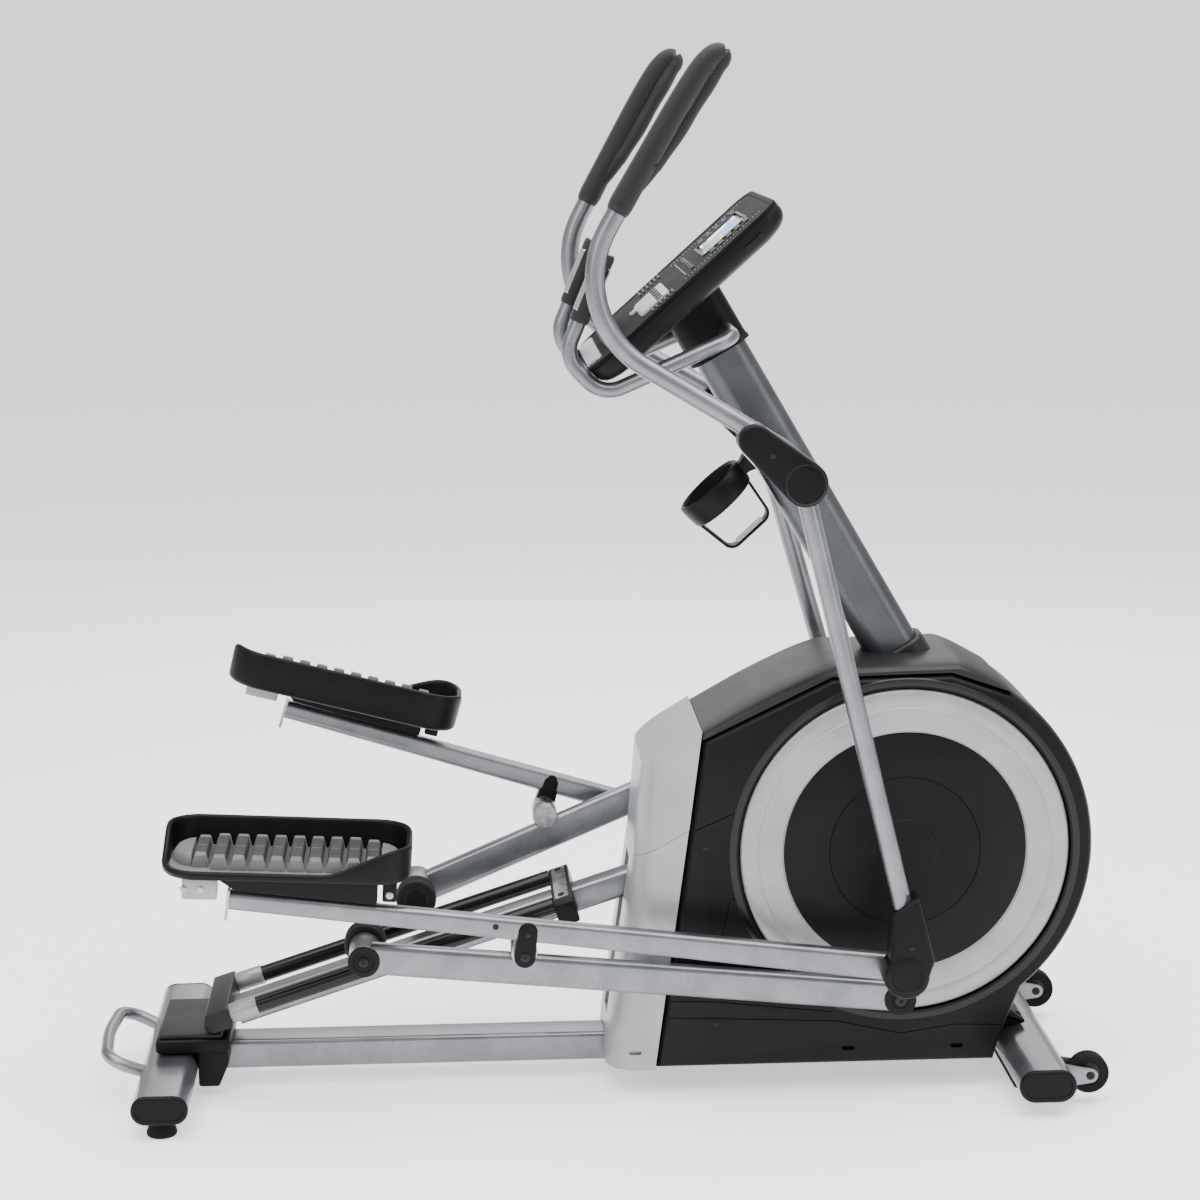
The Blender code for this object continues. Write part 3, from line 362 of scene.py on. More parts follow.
def spun(middle, across, radius, angles):
    # points round a middle, in the plane of the across direction and Y
    return [middle + across * (radius * cos(a)) + Vector((0, radius * sin(a), 0)) for a in angles]


def sweep(points, section):
    # section(share) gives (across, lift) points; across starts in the XZ plane, lift along Y
    points = [Vector(p) for p in points]
    rings = []
    tangent = (points[1] - points[0]).normalized()
    lift = Vector((0, 1, 0)) if abs(tangent.y) < 0.9 else Vector((0, 0, 1))
    across = lift.cross(tangent).normalized()
    for i, point in enumerate(points):
        heading = (points[min(i + 1, len(points) - 1)] - points[max(i - 1, 0)]).normalized()
        across = (tangent.rotation_difference(heading) @ across).normalized()
        tangent = heading
        up = tangent.cross(across)
        rings.append([point + across * a + up * b for a, b in section(i / (len(points) - 1))])
    return skin(rings)


def pipe(points, radius, count=32):
    ring = circle(0, 0, radius, count)
    return sweep(points, lambda share: ring)


def stepped(points, radii, count=32):
    # a pipe with its own radius at every point
    rings = [circle(0, 0, r, count) for r in radii]
    return sweep(points, lambda share: rings[round(share * (len(rings) - 1))])


def between(start, stop, count=6):
    start, stop = Vector(start), Vector(stop)
    return [start.lerp(stop, i / count) for i in range(count + 1)]


def merged(parts):
    whole = bmesh.new()
    for bm in parts:
        mesh = bpy.data.meshes.new("part")
        bm.to_mesh(mesh)
        bm.free()
        whole.from_mesh(mesh)
        bpy.data.meshes.remove(mesh)
    return whole


def makePiece(name, bm, finish, body, replaced=(), angle=32):
    mesh = bpy.data.meshes.new(name)
    bm.to_mesh(mesh)
    bm.free()
    mesh.shade_smooth()
    mesh.set_sharp_from_angle(angle=radians(angle))
    mesh.materials.append(materials[finish])
    made = bpy.data.objects.new(name, mesh)
    bpy.context.scene.collection.objects.link(made)
    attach(made, body)
    if replaced:
        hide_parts(*replaced)
    return made


def carve(piece, bm):
    # takes a shape out of a piece and keeps the result as the mesh
    mesh = bpy.data.meshes.new("tool")
    bm.to_mesh(mesh)
    bm.free()
    tool = bpy.data.objects.new("tool", mesh)
    bpy.context.scene.collection.objects.link(tool)
    step = piece.modifiers.new("carve", "BOOLEAN")
    step.object = tool
    step.operation = "DIFFERENCE"
    step.solver = "EXACT"
    bpy.context.view_layer.update()
    result = bpy.data.meshes.new_from_object(piece.evaluated_get(bpy.context.evaluated_depsgraph_get()))
    piece.modifiers.remove(step)
    old = piece.data
    piece.data = result
    result.name = piece.name
    result.shade_smooth()
    result.set_sharp_from_angle(angle=radians(32))
    bpy.data.meshes.remove(old)
    bpy.data.objects.remove(tool)
    bpy.data.meshes.remove(mesh)


def screwHead(at, outward, radius, tall, drive="cross"):
    # a domed head with a cross or a six-sided socket pressed into it
    count = 24
    dome = [(radius, -tall * 0.3), (radius, tall * 0.25), (radius * 0.94, tall * 0.6),
            (radius * 0.7, tall * 0.92), (radius * 0.35, tall)]
    rings = [[(r * cos(a), r * sin(a), z) for a in turns(count)] for r, z in dome]
    wide = [radius * (0.30 if drive == "hex" or i % 6 in (0, 1, 5) else 0.12) for i in range(count)]
    for share, z in ((1.0, tall), (0.8, tall * 0.35)):
        rings.append([(share * w * cos(a), share * w * sin(a), z) for w, a in zip(wide, turns(count))])
    bm = skin(rings)
    upright = Vector((0, 0, 1)).rotation_difference(Vector(outward).normalized()).to_matrix().to_4x4()
    bm.transform(Matrix.Translation(at) @ upright)
    return bm


def screws(name, spots, body, finish="blackOxideSteel", drive="cross"):
    makePiece(name, merged([screwHead(at, out, r, r * 0.42, drive) for at, out, r in spots]), finish, body)


# stage, light, camera
stage = dict(floorHalf=40.0, floorColour="#f4f4f4", floorGlow=0.85, backdrop="#ffffff",
             shownStrength=1.42, fillStrength=0.75)
lamps = dict(overheadBox=dict(place=(0.2, -0.6, 4.2), target=(0, 0, 0.6), width=6.0, height=4.5, power=480),
             keyBox=dict(place=(-3.4, -3.6, 2.8), target=(0, 0, 0.8), width=2.4, height=2.4, power=60),
             fillBox=dict(place=(3.8, -3.0, 2.0), target=(0.2, 0, 0.7), width=2.0, height=2.6, power=45),
             backBox=dict(place=(0.4, 4.2, 2.6), target=(0, 0, 0.9), width=3.5, height=2.0, power=50))


def makeStage():
    bm = bmesh.new()
    bmesh.ops.create_grid(bm, x_segments=8, y_segments=8, size=stage["floorHalf"])
    mesh = bpy.data.meshes.new("studioFloor")
    bm.to_mesh(mesh)
    bm.free()
    floor = bpy.data.objects.new("studioFloor", mesh)
    bpy.context.scene.collection.objects.link(floor)
    paint = bpy.data.materials.new("mattePaperFloor")  # seamless paper, so only a soft shadow shows
    paint.use_nodes = True
    shader = paint.node_tree.nodes["Principled BSDF"]
    shader.inputs["Base Color"].default_value = linear(stage["floorColour"])
    shader.inputs["Roughness"].default_value = 0.9
    shader.inputs["Specular IOR Level"].default_value = 0.1
    shader.inputs["Emission Color"].default_value = linear(stage["floorColour"])
    shader.inputs["Emission Strength"].default_value = stage["floorGlow"]
    mesh.materials.append(paint)
    world = bpy.data.worlds.new("studioWorld")
    world.use_nodes = True
    tree = world.node_tree
    # white where it is seen, dimmer where it only lights the object, as in a studio with dark walls
    fill = tree.nodes["Background"]
    fill.inputs["Color"].default_value = linear(stage["backdrop"])
    fill.inputs["Strength"].default_value = stage["fillStrength"]
    shown = addNode(tree, "ShaderNodeBackground", {"Color": linear(stage["backdrop"]),
                                                   "Strength": stage["shownStrength"]})
    seen = addNode(tree, "ShaderNodeLightPath").outputs["Is Camera Ray"]
    mixed = addNode(tree, "ShaderNodeMixShader", links={0: seen, 1: fill.outputs[0], 2: shown.outputs[0]})
    tree.links.new(mixed.outputs[0], tree.nodes["World Output"].inputs["Surface"])
    bpy.context.scene.world = world


def softBox(name, place, target, width, height, power):
    light = bpy.data.lights.new(name, "AREA")
    light.shape = "RECTANGLE"
    light.size, light.size_y, light.energy = width, height, power
    made = bpy.data.objects.new(name, light)
    made.location = place
    made.rotation_euler = (Vector(target) - Vector(place)).to_track_quat("-Z", "Y").to_euler()
    bpy.context.scene.collection.objects.link(made)


view = dict(place=(-0.2558, -4.6452, 1.7594), yaw=3.281, pitch=11.051, roll=-0.273, lens=82.49)


def makeCamera():
    lens = bpy.data.cameras.new("studioCamera")
    lens.lens = view["lens"]
    lens.sensor_width = 36.0
    made = bpy.data.objects.new("studioCamera", lens)
    yaw, pitch, roll = (radians(view[k]) for k in ("yaw", "pitch", "roll"))
    forward = Vector((sin(yaw) * cos(pitch), cos(yaw) * cos(pitch), -sin(pitch)))
    level = Vector((cos(yaw), -sin(yaw), 0))
    raised = level.cross(forward)
    right = level * cos(roll) + raised * sin(roll)
    up = raised * cos(roll) - level * sin(roll)
    turn = Matrix((right, up, -forward)).transposed().to_4x4()
    made.matrix_world = Matrix.Translation(view["place"]) @ turn
    bpy.context.scene.collection.objects.link(made)
    bpy.context.scene.camera = made


makeStage()
makeCamera()
for name, lamp in lamps.items():
    softBox(name, **lamp)
print("stage, lights and camera made")

# floor frame
base = dict(rearBar=(0.095, 0.049), frontBar=(0.097, 0.056), handleTube=0.011, handleBend=0.035,
            crownBend=0.50, earReach=0.0195, earThick=0.004, spineCorner=0.009)


def centreOf(node):
    low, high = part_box(node)
    return (low + high) / 2


def makeBase():
    rearCap, frontCap = centreOf("rear_cap_right"), centreOf("front_cap_right")
    half = -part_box("rear_cap_right")[1].y
    rearAt, frontAt = (rearCap.x, rearCap.z), (frontCap.x, frontCap.z)
    makePiece("rearStabiliserBar", extrude(obround(*rearAt, *base["rearBar"], 20), -half, half),
              "silverPowderCoatSteel", "frame", ["rear_stabilizer"])
    x, z = rearAt
    corner = [(x - 0.035, 0.118, z + 0.004), (x - 0.1035, 0.132, z + 0.034)]
    line = [(a, -b, c) for a, b, c in corner] + [(x - 0.1145, 0.0, z + 0.036)] + corner[::-1]
    bends = [base["handleBend"], base["crownBend"], base["handleBend"]]
    makePiece("carryHandle", pipe(filleted(line, bends), base["handleTube"]), "silverPowderCoatSteel",
              "frame", ["rear_stabilizer"])
    makePiece("frontStabiliserBar", extrude(obround(*frontAt, *base["frontBar"], 20), -half, half),
              "silverPowderCoatSteel", "frame", ["front_stabilizer"])
    for side, name in sides:
        wheel = pivots[name + "_wheel_spin"]
        cheeks = []
        for reach in (base["earReach"], -base["earReach"]):
            at = side * (abs(wheel.y) + reach)
            ear = capsule((frontAt[0] + 0.030, frontAt[1]), 0.022, (wheel.x, wheel.z), 0.013)
            cheeks.append(extrude(ear, at - base["earThick"] / 2, at + base["earThick"] / 2, 0.0008, 2))
        cheeks.append(extrude(circle(wheel.x, wheel.z, 0.0049, 32), wheel.y - 0.019, wheel.y + 0.019))
        makePiece("wheelBracket_" + name, merged(cheeks), "silverPowderCoatSteel", "frame",
                  ["front_stabilizer"])
        screws("wheelBolts_" + name, [((wheel.x, wheel.y + s * 0.0215, wheel.z), (0, s, 0), 0.0075)
                                      for s in (-1, 1)], "frame", drive="hex")
        for end, at, size in (("rear", rearAt, base["rearBar"]), ("front", frontAt, base["frontBar"])):
            low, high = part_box(end + "_cap_" + name)
            near, far = (low.y, high.y) if side > 0 else (high.y, low.y)
            outline = obround(*at, size[0] + 0.001, size[1] + 0.001, 20)
            depth = abs(far - near)
            rows = [(0.0, 0.0), (0.45, 0.0), (0.75, 0.0010), (0.93, 0.0028), (1.0, 0.0055), (1.0, 0.0080),
                    (0.80, 0.0088), (0.80, 0.0120)]
            cap = stacked(outline, [(near + side * depth * share, d) for share, d in rows])
            makePiece(end + "EndCap_" + name, cap, "blackMouldedAbs", "frame", [end + "_cap_" + name])
    # spine tube between the bars
    low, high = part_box("base_beam")
    section = roundRect(0, 0, high.z - low.z, high.y - low.y, base["spineCorner"], 8)
    middle = (low.z + high.z) / 2
    makePiece("spineTube", sweep(between((low.x, 0, middle), (high.x, 0, middle), 12), lambda share: section),
              "silverPowderCoatSteel", "frame", ["base_beam"])
    # rubber block under the front bar
    low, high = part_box("front_foot")
    block = extrude(roundRect((low.x + high.x) / 2, (low.z + high.z) / 2, high.x - low.x, high.z - low.z,
                              0.008), low.y, high.y, 0.003)
    makePiece("frontRubberFoot", block, "curedRubber", "frame", ["front_foot"])


cover = dict(skirtTall=0.025, plateThick=0.010, plateInset=0.006)


def makeRearCover():
    low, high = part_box("rear_cover")
    top = high.z
    body = roundRect((low.x + high.x) / 2, top - 0.0225, high.x - low.x, cover["skirtTall"], 0.008)
    makePiece("rearCoverSkirt", extrude(body, low.y, high.y, 0.006), "blackMouldedAbs", "frame",
              ["rear_cover"])
    plate = roundRect((low.x + high.x) / 2 - 0.004, top - 0.0055, high.x - low.x - 0.020, cover["plateThick"],
                      0.0048)
    makePiece("rearCoverTop",
              extrude(plate, low.y + cover["plateInset"], high.y - cover["plateInset"], 0.004),
              "charcoalMouldedAbs", "frame", ["rear_cover"])
    for side, name in sides:
        skirt = roundCorners([(high.x - 0.0565, 0.0200), (high.x - 0.021, 0.0200), (high.x - 0.004, 0.060),
                              (high.x - 0.004, 0.094), (high.x - 0.0565, 0.094)], 0.006)
        makePiece("rearCoverLeg_" + name, extrude(skirt, side * 0.0365, side * 0.0950, 0.003),
                  "blackMouldedAbs", "frame", ["rear_cover"])
    screws("rearBarScrews", [((low.x + 0.002, y, 0.062), (-1, 0, 0.25), 0.0065) for y in (-0.055, 0.055)],
           "frame")


makeBase()
makeRearCover()
print("floor frame made")

# incline ramp
slope = radians(18)
hinge = pivots["ramp_incline"]


def onRamp(forward, up=0.0):
    return along((hinge.x, hinge.z), slope, forward, up)


def rampPoint(forward, y, up):
    x, z = onRamp(forward, up)
    return (x, y, z)


incline = dict(railY=0.083, railRadius=0.0145, railRise=0.0015, start=0.0305, end=0.620, spineEnd=0.800,
               beam=(0.045, 0.046))


def makeRamp():
    depth, width = incline["beam"]
    rise = incline["railRise"]
    section = roundRect(0, 0, depth, width, 0.008, 8)
    ends = [rampPoint(t, 0, rise - depth / 2) for t in (incline["start"], incline["spineEnd"])]
    makePiece("rampSpine", sweep(between(*ends, 10), lambda share: section), "silverPowderCoatSteel", "ramp",
              ["ramp_beam"])
    for side, name in sides:
        y = side * incline["railY"]
        line = [Vector(rampPoint(t, y, rise)) for t in (incline["start"], incline["end"])]
        makePiece("rampRail_" + name, pipe(between(line[0], line[1], 10), incline["railRadius"], 40),
                  "glossBlackAbs", "ramp", ["ramp_rail_" + name])
        d = (line[1] - line[0]).normalized()
        sleeve = [line[0], line[0] + d * 0.003, line[0] + d * 0.046, line[0] + d * 0.049]
        makePiece("railSleeve_" + name, stepped(sleeve, (0.0158, 0.0172, 0.0172, 0.0156), 40),
                  "silverPigmentAbs", "ramp")
    edge = incline["start"] - 0.0003
    block = arc(0.0, 0.0, 0.0170, pi, 1.5 * pi, 12) + [(edge, -0.0170), (edge, 0.0185), (-0.0100, 0.0185)]
    makePiece("rampHingeBlock", softened(extrude([onRamp(t, n) for t, n in block], -0.1050, 0.1050), 0.0035),
              "charcoalMouldedAbs", "ramp", ["ramp_rear_bracket"])
    legs = [(-0.1050, -0.0330), (-0.0240, -0.0330), (-0.0240, 0.0022), (0.0240, 0.0022), (0.0240, -0.0330),
            (0.1050, -0.0330), (0.1050, 0.0050), (0.0980, 0.0120), (-0.0980, 0.0120), (-0.1050, 0.0050)]
    rings = [[rampPoint(t, y, n) for y, n in legs]
             for t in (incline["end"] + 0.0003, incline["end"] + 0.0360)]
    makePiece("rampHeadBracket", softened(skin(rings), 0.0020, 3), "blackMouldedAbs", "ramp",
              ["ramp_front_bracket"])
    plate = [onRamp(t, n) for t, n in ((0.626, 0.0118), (0.650, 0.0118), (0.650, 0.0140), (0.626, 0.0140))]
    makePiece("rampHeadPlate", extrude(plate, -0.090, 0.090), "zincPlatedSteel", "ramp")
    spots = [(rampPoint(0.638, y, 0.0140), (-sin(slope), 0, cos(slope)), 0.006) for y in (-0.074, 0.074)]
    screws("rampHeadScrews", spots, "ramp")


makeRamp()
print("ramp made")

# rollers, roller arms and pedal arms
linkage = {
    "right": dict(reach=0.9200, drop=-0.003, angle=radians(-5.640), jointUp=0.0437, pedalPitch=radians(-7.4),
                  tilt=radians(4.4)),
    "left": dict(reach=0.9224, drop=0.013, angle=radians(23.020), jointUp=0.0234, pedalPitch=radians(-17.0),
                 tilt=radians(2.3)),
}
rollerArm = dict(inner=0.158, outer=0.186, tall=0.055, corner=0.0105)
pedalArm = dict(inner=0.214, outer=0.242, tall=0.047, rearTall=0.032, corner=0.0095, above=0.047, rear=0.500,
                front=0.625)


def flatBar(start, stop, inner, outer, side, tall, endTall, corner, count=14):
    # a rectangular tube on its edge, which may taper along its length
    y = side * (inner + outer) / 2
    wide = outer - inner
    points = [(p.x, y, p.z) for p in between((start[0], 0, start[1]), (stop[0], 0, stop[1]), count)]

    def section(share):
        high = tall + (endTall - tall) * share
        return roundRect(0, 0, high, wide, min(corner, wide * 0.48), 7)
    return sweep(points, section)


def makeRoller(side, name):
    axle = pivots[name + "_roller_spin"]
    at = abs(axle.y)
    tyre = [(0.0110, -0.0176), (0.0200, -0.0176), (0.0205, -0.0160), (0.0290, -0.0160), (0.0300, -0.0178),
            (0.0335, -0.0180), (0.0358, -0.0155), (0.0350, -0.0125), (0.0318, -0.0085), (0.0300, -0.0045),
            (0.0297, 0.0)]
    tyre += [(r, -y) for r, y in tyre[-2::-1]]
    makePiece("rollerTyre_" + name, lathe([(r, at + y) for r, y in tyre], axle.x, axle.z, side, closed=True),
              "blackElastomer", name + "_roller", ["roller_" + name])
    outer = rollerArm["outer"] + 0.0006
    rows = [(0.0160, at - 0.0230), (0.0160, at - 0.0190), (0.0098, at - 0.0190), (0.0098, outer - 0.006),
            (0.0098, outer), (0.0262, outer), (0.0270, outer + 0.0012), (0.0270, outer + 0.0032),
            (0.0258, outer + 0.0046), (0.0180, outer + 0.0050), (0.0172, outer + 0.0036),
            (0.0108, outer + 0.0036), (0.0100, outer + 0.0044)]
    makePiece("rollerAxle_" + name, lathe(rows, axle.x, axle.z, side), "blackMouldedAbs", name + "_carriage",
              ["roller_axle_" + name])
    screws("rollerAxleBolt_" + name, [((axle.x, side * (outer + 0.0040), axle.z), (0, side, 0), 0.0085)],
           name + "_carriage", drive="hex")


def makeRollerArm(side, name):
    link = linkage[name]
    axle = pivots[name + "_roller_arm_pitch"]
    start, angle = (axle.x, axle.z), link["angle"]
    pin = along(start, angle, link["reach"])
    inner, outer = rollerArm["inner"], rollerArm["outer"]
    body = name + "_roller_arm"
    node = ["roller_arm_" + name]
    bar = flatBar(along(start, angle, 0.012, -link["drop"]), along(pin, angle, -0.004, -link["drop"]),
                  inner, outer, side, rollerArm["tall"], rollerArm["tall"], rollerArm["corner"])
    makePiece("rollerArmTube_" + name, bar, "silverPowderCoatSteel", body, node)
    near = 0.083 + 0.0186
    sleeve = [(0.0106, near), (0.0235, near), (0.0262, near + 0.003), (0.0262, outer - 0.0075),
              (0.0268, outer - 0.0065), (0.0268, outer - 0.0006), (0.0262, outer), (0.0106, outer)]
    makePiece("rollerArmSleeve_" + name, lathe(sleeve, axle.x, axle.z, side, closed=True),
              "silverPowderCoatSteel", body, node)
    # crank end: boss, washer and bolt
    boss = [(0.0118, 0.1458), (0.0118, inner - 0.001), (0.0262, inner - 0.001), (0.0268, inner + 0.001),
            (0.0268, outer + 0.0004), (0.0275, outer + 0.0010), (0.0275, outer + 0.0026),
            (0.0262, outer + 0.0036), (0.0150, outer + 0.0036), (0.0140, outer + 0.0026)]
    makePiece("crankBoss_" + name, lathe(boss, pin[0], pin[1], side), "blackMouldedAbs", body, node)
    screws("crankBolt_" + name, [((pin[0], side * (outer + 0.0026), pin[1]), (0, side, 0), 0.0105)], body,
           drive="hex")
    joint = pivots[name + "_pedal_arm_pitch"]
    stub = [(0.0215, inner - 0.002), (0.0225, inner), (0.0225, pedalArm["inner"] - 0.0026),
            (0.0215, pedalArm["inner"] - 0.0006)]
    makePiece("armPivotStub_" + name, lathe(stub, joint.x, joint.z, side), "zincPlatedSteel", body, node)


def makePedalArm(side, name):
    link = linkage[name]
    joint = pivots[name + "_pedal_arm_pitch"]
    at, pitch = (joint.x, joint.z), link["pedalPitch"]
    inner, outer = pedalArm["inner"], pedalArm["outer"]
    body = name + "_pedal_arm"
    node = ["pedal_arm_" + name]
    front = along(at, pitch, pedalArm["front"], pedalArm["above"])
    rear = along(at, pitch, -pedalArm["rear"], pedalArm["above"])
    bar = flatBar(front, rear, inner, outer, side, pedalArm["tall"], pedalArm["rearTall"], pedalArm["corner"])
    makePiece("pedalArmTube_" + name, bar, "silverPowderCoatSteel", body, node)
    eye = lathe([(0.0225, inner + 0.0006), (0.0234, inner + 0.002), (0.0234, outer - 0.002),
                 (0.0225, outer - 0.0006)], front[0], front[1], side)
    makePiece("pedalArmEye_" + name, eye, "silverPowderCoatSteel", body, node)
    # clamp block on the middle pivot
    tab = capsule(along(at, pitch, 0.0, 0.002), 0.0180, along(at, pitch, 0.0, pedalArm["above"]), 0.0160)
    makePiece("armClamp_" + name, extrude(tab, side * (inner - 0.0001), side * (outer + 0.004), 0.0032),
              "blackMouldedAbs", body, node)
    pin = along(at, pitch, 0.0, 0.004)
    small = along(at, pitch, 0.0, pedalArm["above"] - 0.004)
    spots = [((x, side * (outer + 0.0040), z), (0, side, 0), r)
             for (x, z), r in ((pin, 0.0085), (small, 0.0045))]
    screws("armClampScrews_" + name, spots, body, drive="hex")
    spot = along(at, pitch, -0.055, pedalArm["above"] + 0.003)
    screws("armTubeScrew_" + name, [((spot[0], side * outer, spot[1]), (0, side, 0), 0.0052)], body)
    end = roundCorners([(-0.0045, -0.034), (0.0005, -0.034), (0.0005, 0.018), (-0.0045, 0.018)], 0.0015, 3)
    plate = extrude([along(rear, pitch, t, n) for t, n in end], side * (inner + 0.001),
                    side * (outer - 0.001))
    makePiece("pedalArmEndPlate_" + name, plate, "zincPlatedSteel", body, node)


# pedals
tray = dict(middle=-0.1720, long=0.4140, wide=0.1840, corner=0.060, bottom=0.0330, tall=0.0660, lip=0.0160,
            riseStart=0.64, riseLong=0.130, ridges=10, pitch=0.0316, ridgeTop=0.0370, centreY=0.1840)


def pedalPlace(side, name):
    # from the pedal's own axes, with its bolt at the origin, to the machine's
    link = linkage[name]
    bolt = pivots[name + "_pedal_tilt"]
    turn = Matrix.Rotation(-(link["pedalPitch"] + link["tilt"]), 4, "Y")
    return Matrix.Translation((bolt.x, side * tray["centreY"], bolt.z)) @ turn


def armAcross(side):
    # where the pedal arm runs, across the pedal
    return side * ((pedalArm["inner"] + pedalArm["outer"]) / 2) - side * tray["centreY"]


def trayOutline():
    return denser(roundRect(tray["middle"], 0.0, tray["long"], tray["wide"], tray["corner"], 16))


def makeTray(side, name):
    place = pedalPlace(side, name)
    body = name + "_pedal"
    rear = tray["middle"] - tray["long"] / 2
    whole = trayOutline()

    def rim(x, y):
        # tall on the inner side and round the front, low along the outer side
        fall = smooth((0.070 - side * y) / 0.130)
        lift = smooth((x - rear - tray["riseStart"] * tray["long"]) / tray["riseLong"])
        return tray["lip"] + (tray["tall"] - tray["lip"]) * max(fall, 0.88 * lift)

    profile = [(0.016, 0.000, 0), (0.006, 0.0010, 0), (0.002, 0.0045, 0), (0.0008, 0.010, 0),
               (0.0, -0.0060, 1), (0.0008, -0.0024, 1), (0.0030, -0.0004, 1), (0.0055, 0.0, 1),
               (0.0080, -0.0008, 1), (0.0098, -0.0034, 1), (0.0104, -0.0070, 1), (0.0104, 0.0085, 0),
               (0.0120, 0.0050, 0), (0.018, 0.0042, 0)]
    bm = skin([[(x, y, tray["bottom"] + z + (rim(x, y) if top else 0.0)) for x, y in inset(whole, cut)]
               for cut, z, top in profile])
    bm.transform(place)
    makePiece("pedalTray_" + name, bm, "blackMouldedAbs", body, ["pedal_tray_" + name], 45)

    # under the tray: bolt lug and grey adjuster block
    armY = armAcross(side)
    for label, spot, long, wide, low, finish in (("pedalLug", 0.0, 0.024, 0.024, -0.0040, "blackMouldedAbs"),
                                                 ("pedalAdjuster", -0.3140, 0.058, 0.042, -0.0060,
                                                  "silverPigmentAbs")):
        outline = roundRect(spot, armY, long, wide, 0.005, 5)
        bm = softened(skin([[(x, y, z) for x, y in outline] for z in (low, tray["bottom"] + 0.0020)]),
                      0.0015, 2)
        bm.transform(place)
        makePiece(label + "_" + name, bm, finish, body, ["pedal_tray_" + name])
    spots = [(place @ Vector((0.0, armY + side * 0.0120, 0.008)), (0, side, 0), 0.0065),
             (place @ Vector((-0.340, armY + side * 0.0210, 0.012)), (0, side, 0), 0.0060),
             (place @ Vector((-0.312, armY + side * 0.0210, 0.012)), (0, side, 0), 0.0060)]
    screws("pedalBolts_" + name, spots, body, "zincPlatedSteel", "hex")


def makeTread(side, name):
    # a pale foot bed with bars right across it, and two dark pads on every bar
    place = pedalPlace(side, name)
    floor = tray["bottom"]
    parts = []
    bed = [(0.0112, 0.0046), (0.0112, 0.0130), (0.0128, 0.0150), (0.0160, 0.0156)]
    parts.append(skin([[(x, y, floor + z) for x, y in inset(trayOutline(), cut)] for cut, z in bed]))
    inserts = []
    count = tray["ridges"]
    first = tray["middle"] - (count - 1) / 2 * tray["pitch"]
    top = tray["ridgeTop"]
    for k in range(count):
        x = first + k * tray["pitch"]
        reach = tray["wide"] / 2 - 0.0200 - (0.0120 if k in (0, count - 1) else 0.0)
        # the bar is narrower at its top
        section = roundCorners([(x - 0.0150, 0.0140), (x + 0.0150, 0.0140), (x + 0.0086, top),
                                (x - 0.0086, top)], 0.0028, 4)
        rows = [(-reach - 0.0015, 0.0020), (-reach, 0.0), (reach, 0.0), (reach + 0.0015, 0.0020)]
        parts.append(skin([[(px, y, floor + pz) for px, pz in inset(section, cut)] for y, cut in rows]))
        for y0, y1 in ((-reach + 0.0180, -0.0022), (0.0022, reach - 0.0160)):
            pad = roundCorners([(x - 0.0132, 0.0230), (x + 0.0132, 0.0230), (x + 0.0094, top + 0.0012),
                                (x - 0.0094, top + 0.0012)], 0.0028, 4)
            rows = [(y0, 0.0014), (y0 + 0.0014, 0.0), (y1 - 0.0014, 0.0), (y1, 0.0014)]
            inserts.append(skin([[(px, y, floor + pz) for px, pz in inset(pad, cut)] for y, cut in rows]))
    # domed ends
    for end in (-1, 1):
        x = tray["middle"] + end * (count / 2 * tray["pitch"] - 0.0010)
        rings = []
        for size, z in ((1.0, 0.0140), (0.985, 0.0220), (0.93, 0.0290), (0.83, 0.0335), (0.66, 0.0362),
                        (0.42, 0.0374)):
            bow = [(x + end * 0.0330 * size * cos(a), 0.0560 * (0.4 + 0.6 * size) * sin(a))
                   for a in [-pi / 2 + pi * q / 24 for q in range(25)]]
            rings.append([(px, py, floor + z) for px, py in bow])
        parts.append(skin(rings))
    for label, group, finish in (("pedalTread", parts, "greyMouldedEva"),
                                 ("pedalInserts", inserts, "dustyGreyRubber")):
        bm = merged(group)
        bm.transform(place)
        makePiece(label + "_" + name, bm, finish, name + "_pedal", ["pedal_pad_" + name])


def makeKeel(side, name):
    # a wedge between the tray and its arm
    armY = armAcross(side)
    slant = tan(linkage[name]["tilt"])
    low = [(x, -0.0122 - x * slant + 0.0022) for x in (-0.020, -0.255)]
    keel = roundCorners([(-0.0200, low[0][1]), (-0.0200, 0.0350), (-0.2950, 0.0350), (-0.2550, low[1][1])],
                        0.006, 4)
    bm = extrude(keel, armY - 0.0180, armY + 0.0140, 0.002)
    bm.transform(pedalPlace(side, name))
    makePiece("pedalKeel_" + name, bm, "blackMouldedAbs", name + "_pedal", ["pedal_tray_" + name])


for side, name in sides:
    makeRoller(side, name)
    makeRollerArm(side, name)
    makePedalArm(side, name)
    makeTray(side, name)
    makeTread(side, name)
    makeKeel(side, name)
print("rollers, arms and pedals made")

# swinging handles
handle = dict(tube=0.0160, lower=0.8490, start=(0.0247, 1.5315), bend=(-0.0691, 1.3661),
              elbow=(0.3110, 1.1366), foot=(0.5230, 0.2720), cap=(0.5014, 0.2642), coverHalf=0.0280,
              swingRight=radians(12.06), leanLeft=radians(2.24), bends=(0.164, 0.080),
              shoe=((0.5479, 0.2913), (0.5356, 0.3382), (0.5187, 0.4015), (0.4775, 0.3727)))
grip = dict(frontBar=0.0124, wave=0.0006, waves=5,
            thick=((0.0, 0.0176), (0.08, 0.0190), (0.45, 0.0176), (0.8, 0.0156), (1.0, 0.0132)))


def leaning(side, name):
    # turns a point of the handle from where it is drawn to where this side's handle stands
    pivot = pivots[name + "_handle_swing"]
    lean = handle["leanLeft"] if side > 0 else 0.0

    def swung(point):
        dx, dz = point[0] - pivot.x, point[1] - pivot.z
        return (pivot.x + cos(lean) * dx - sin(lean) * dz, pivot.z + sin(lean) * dx + cos(lean) * dz)
    return swung


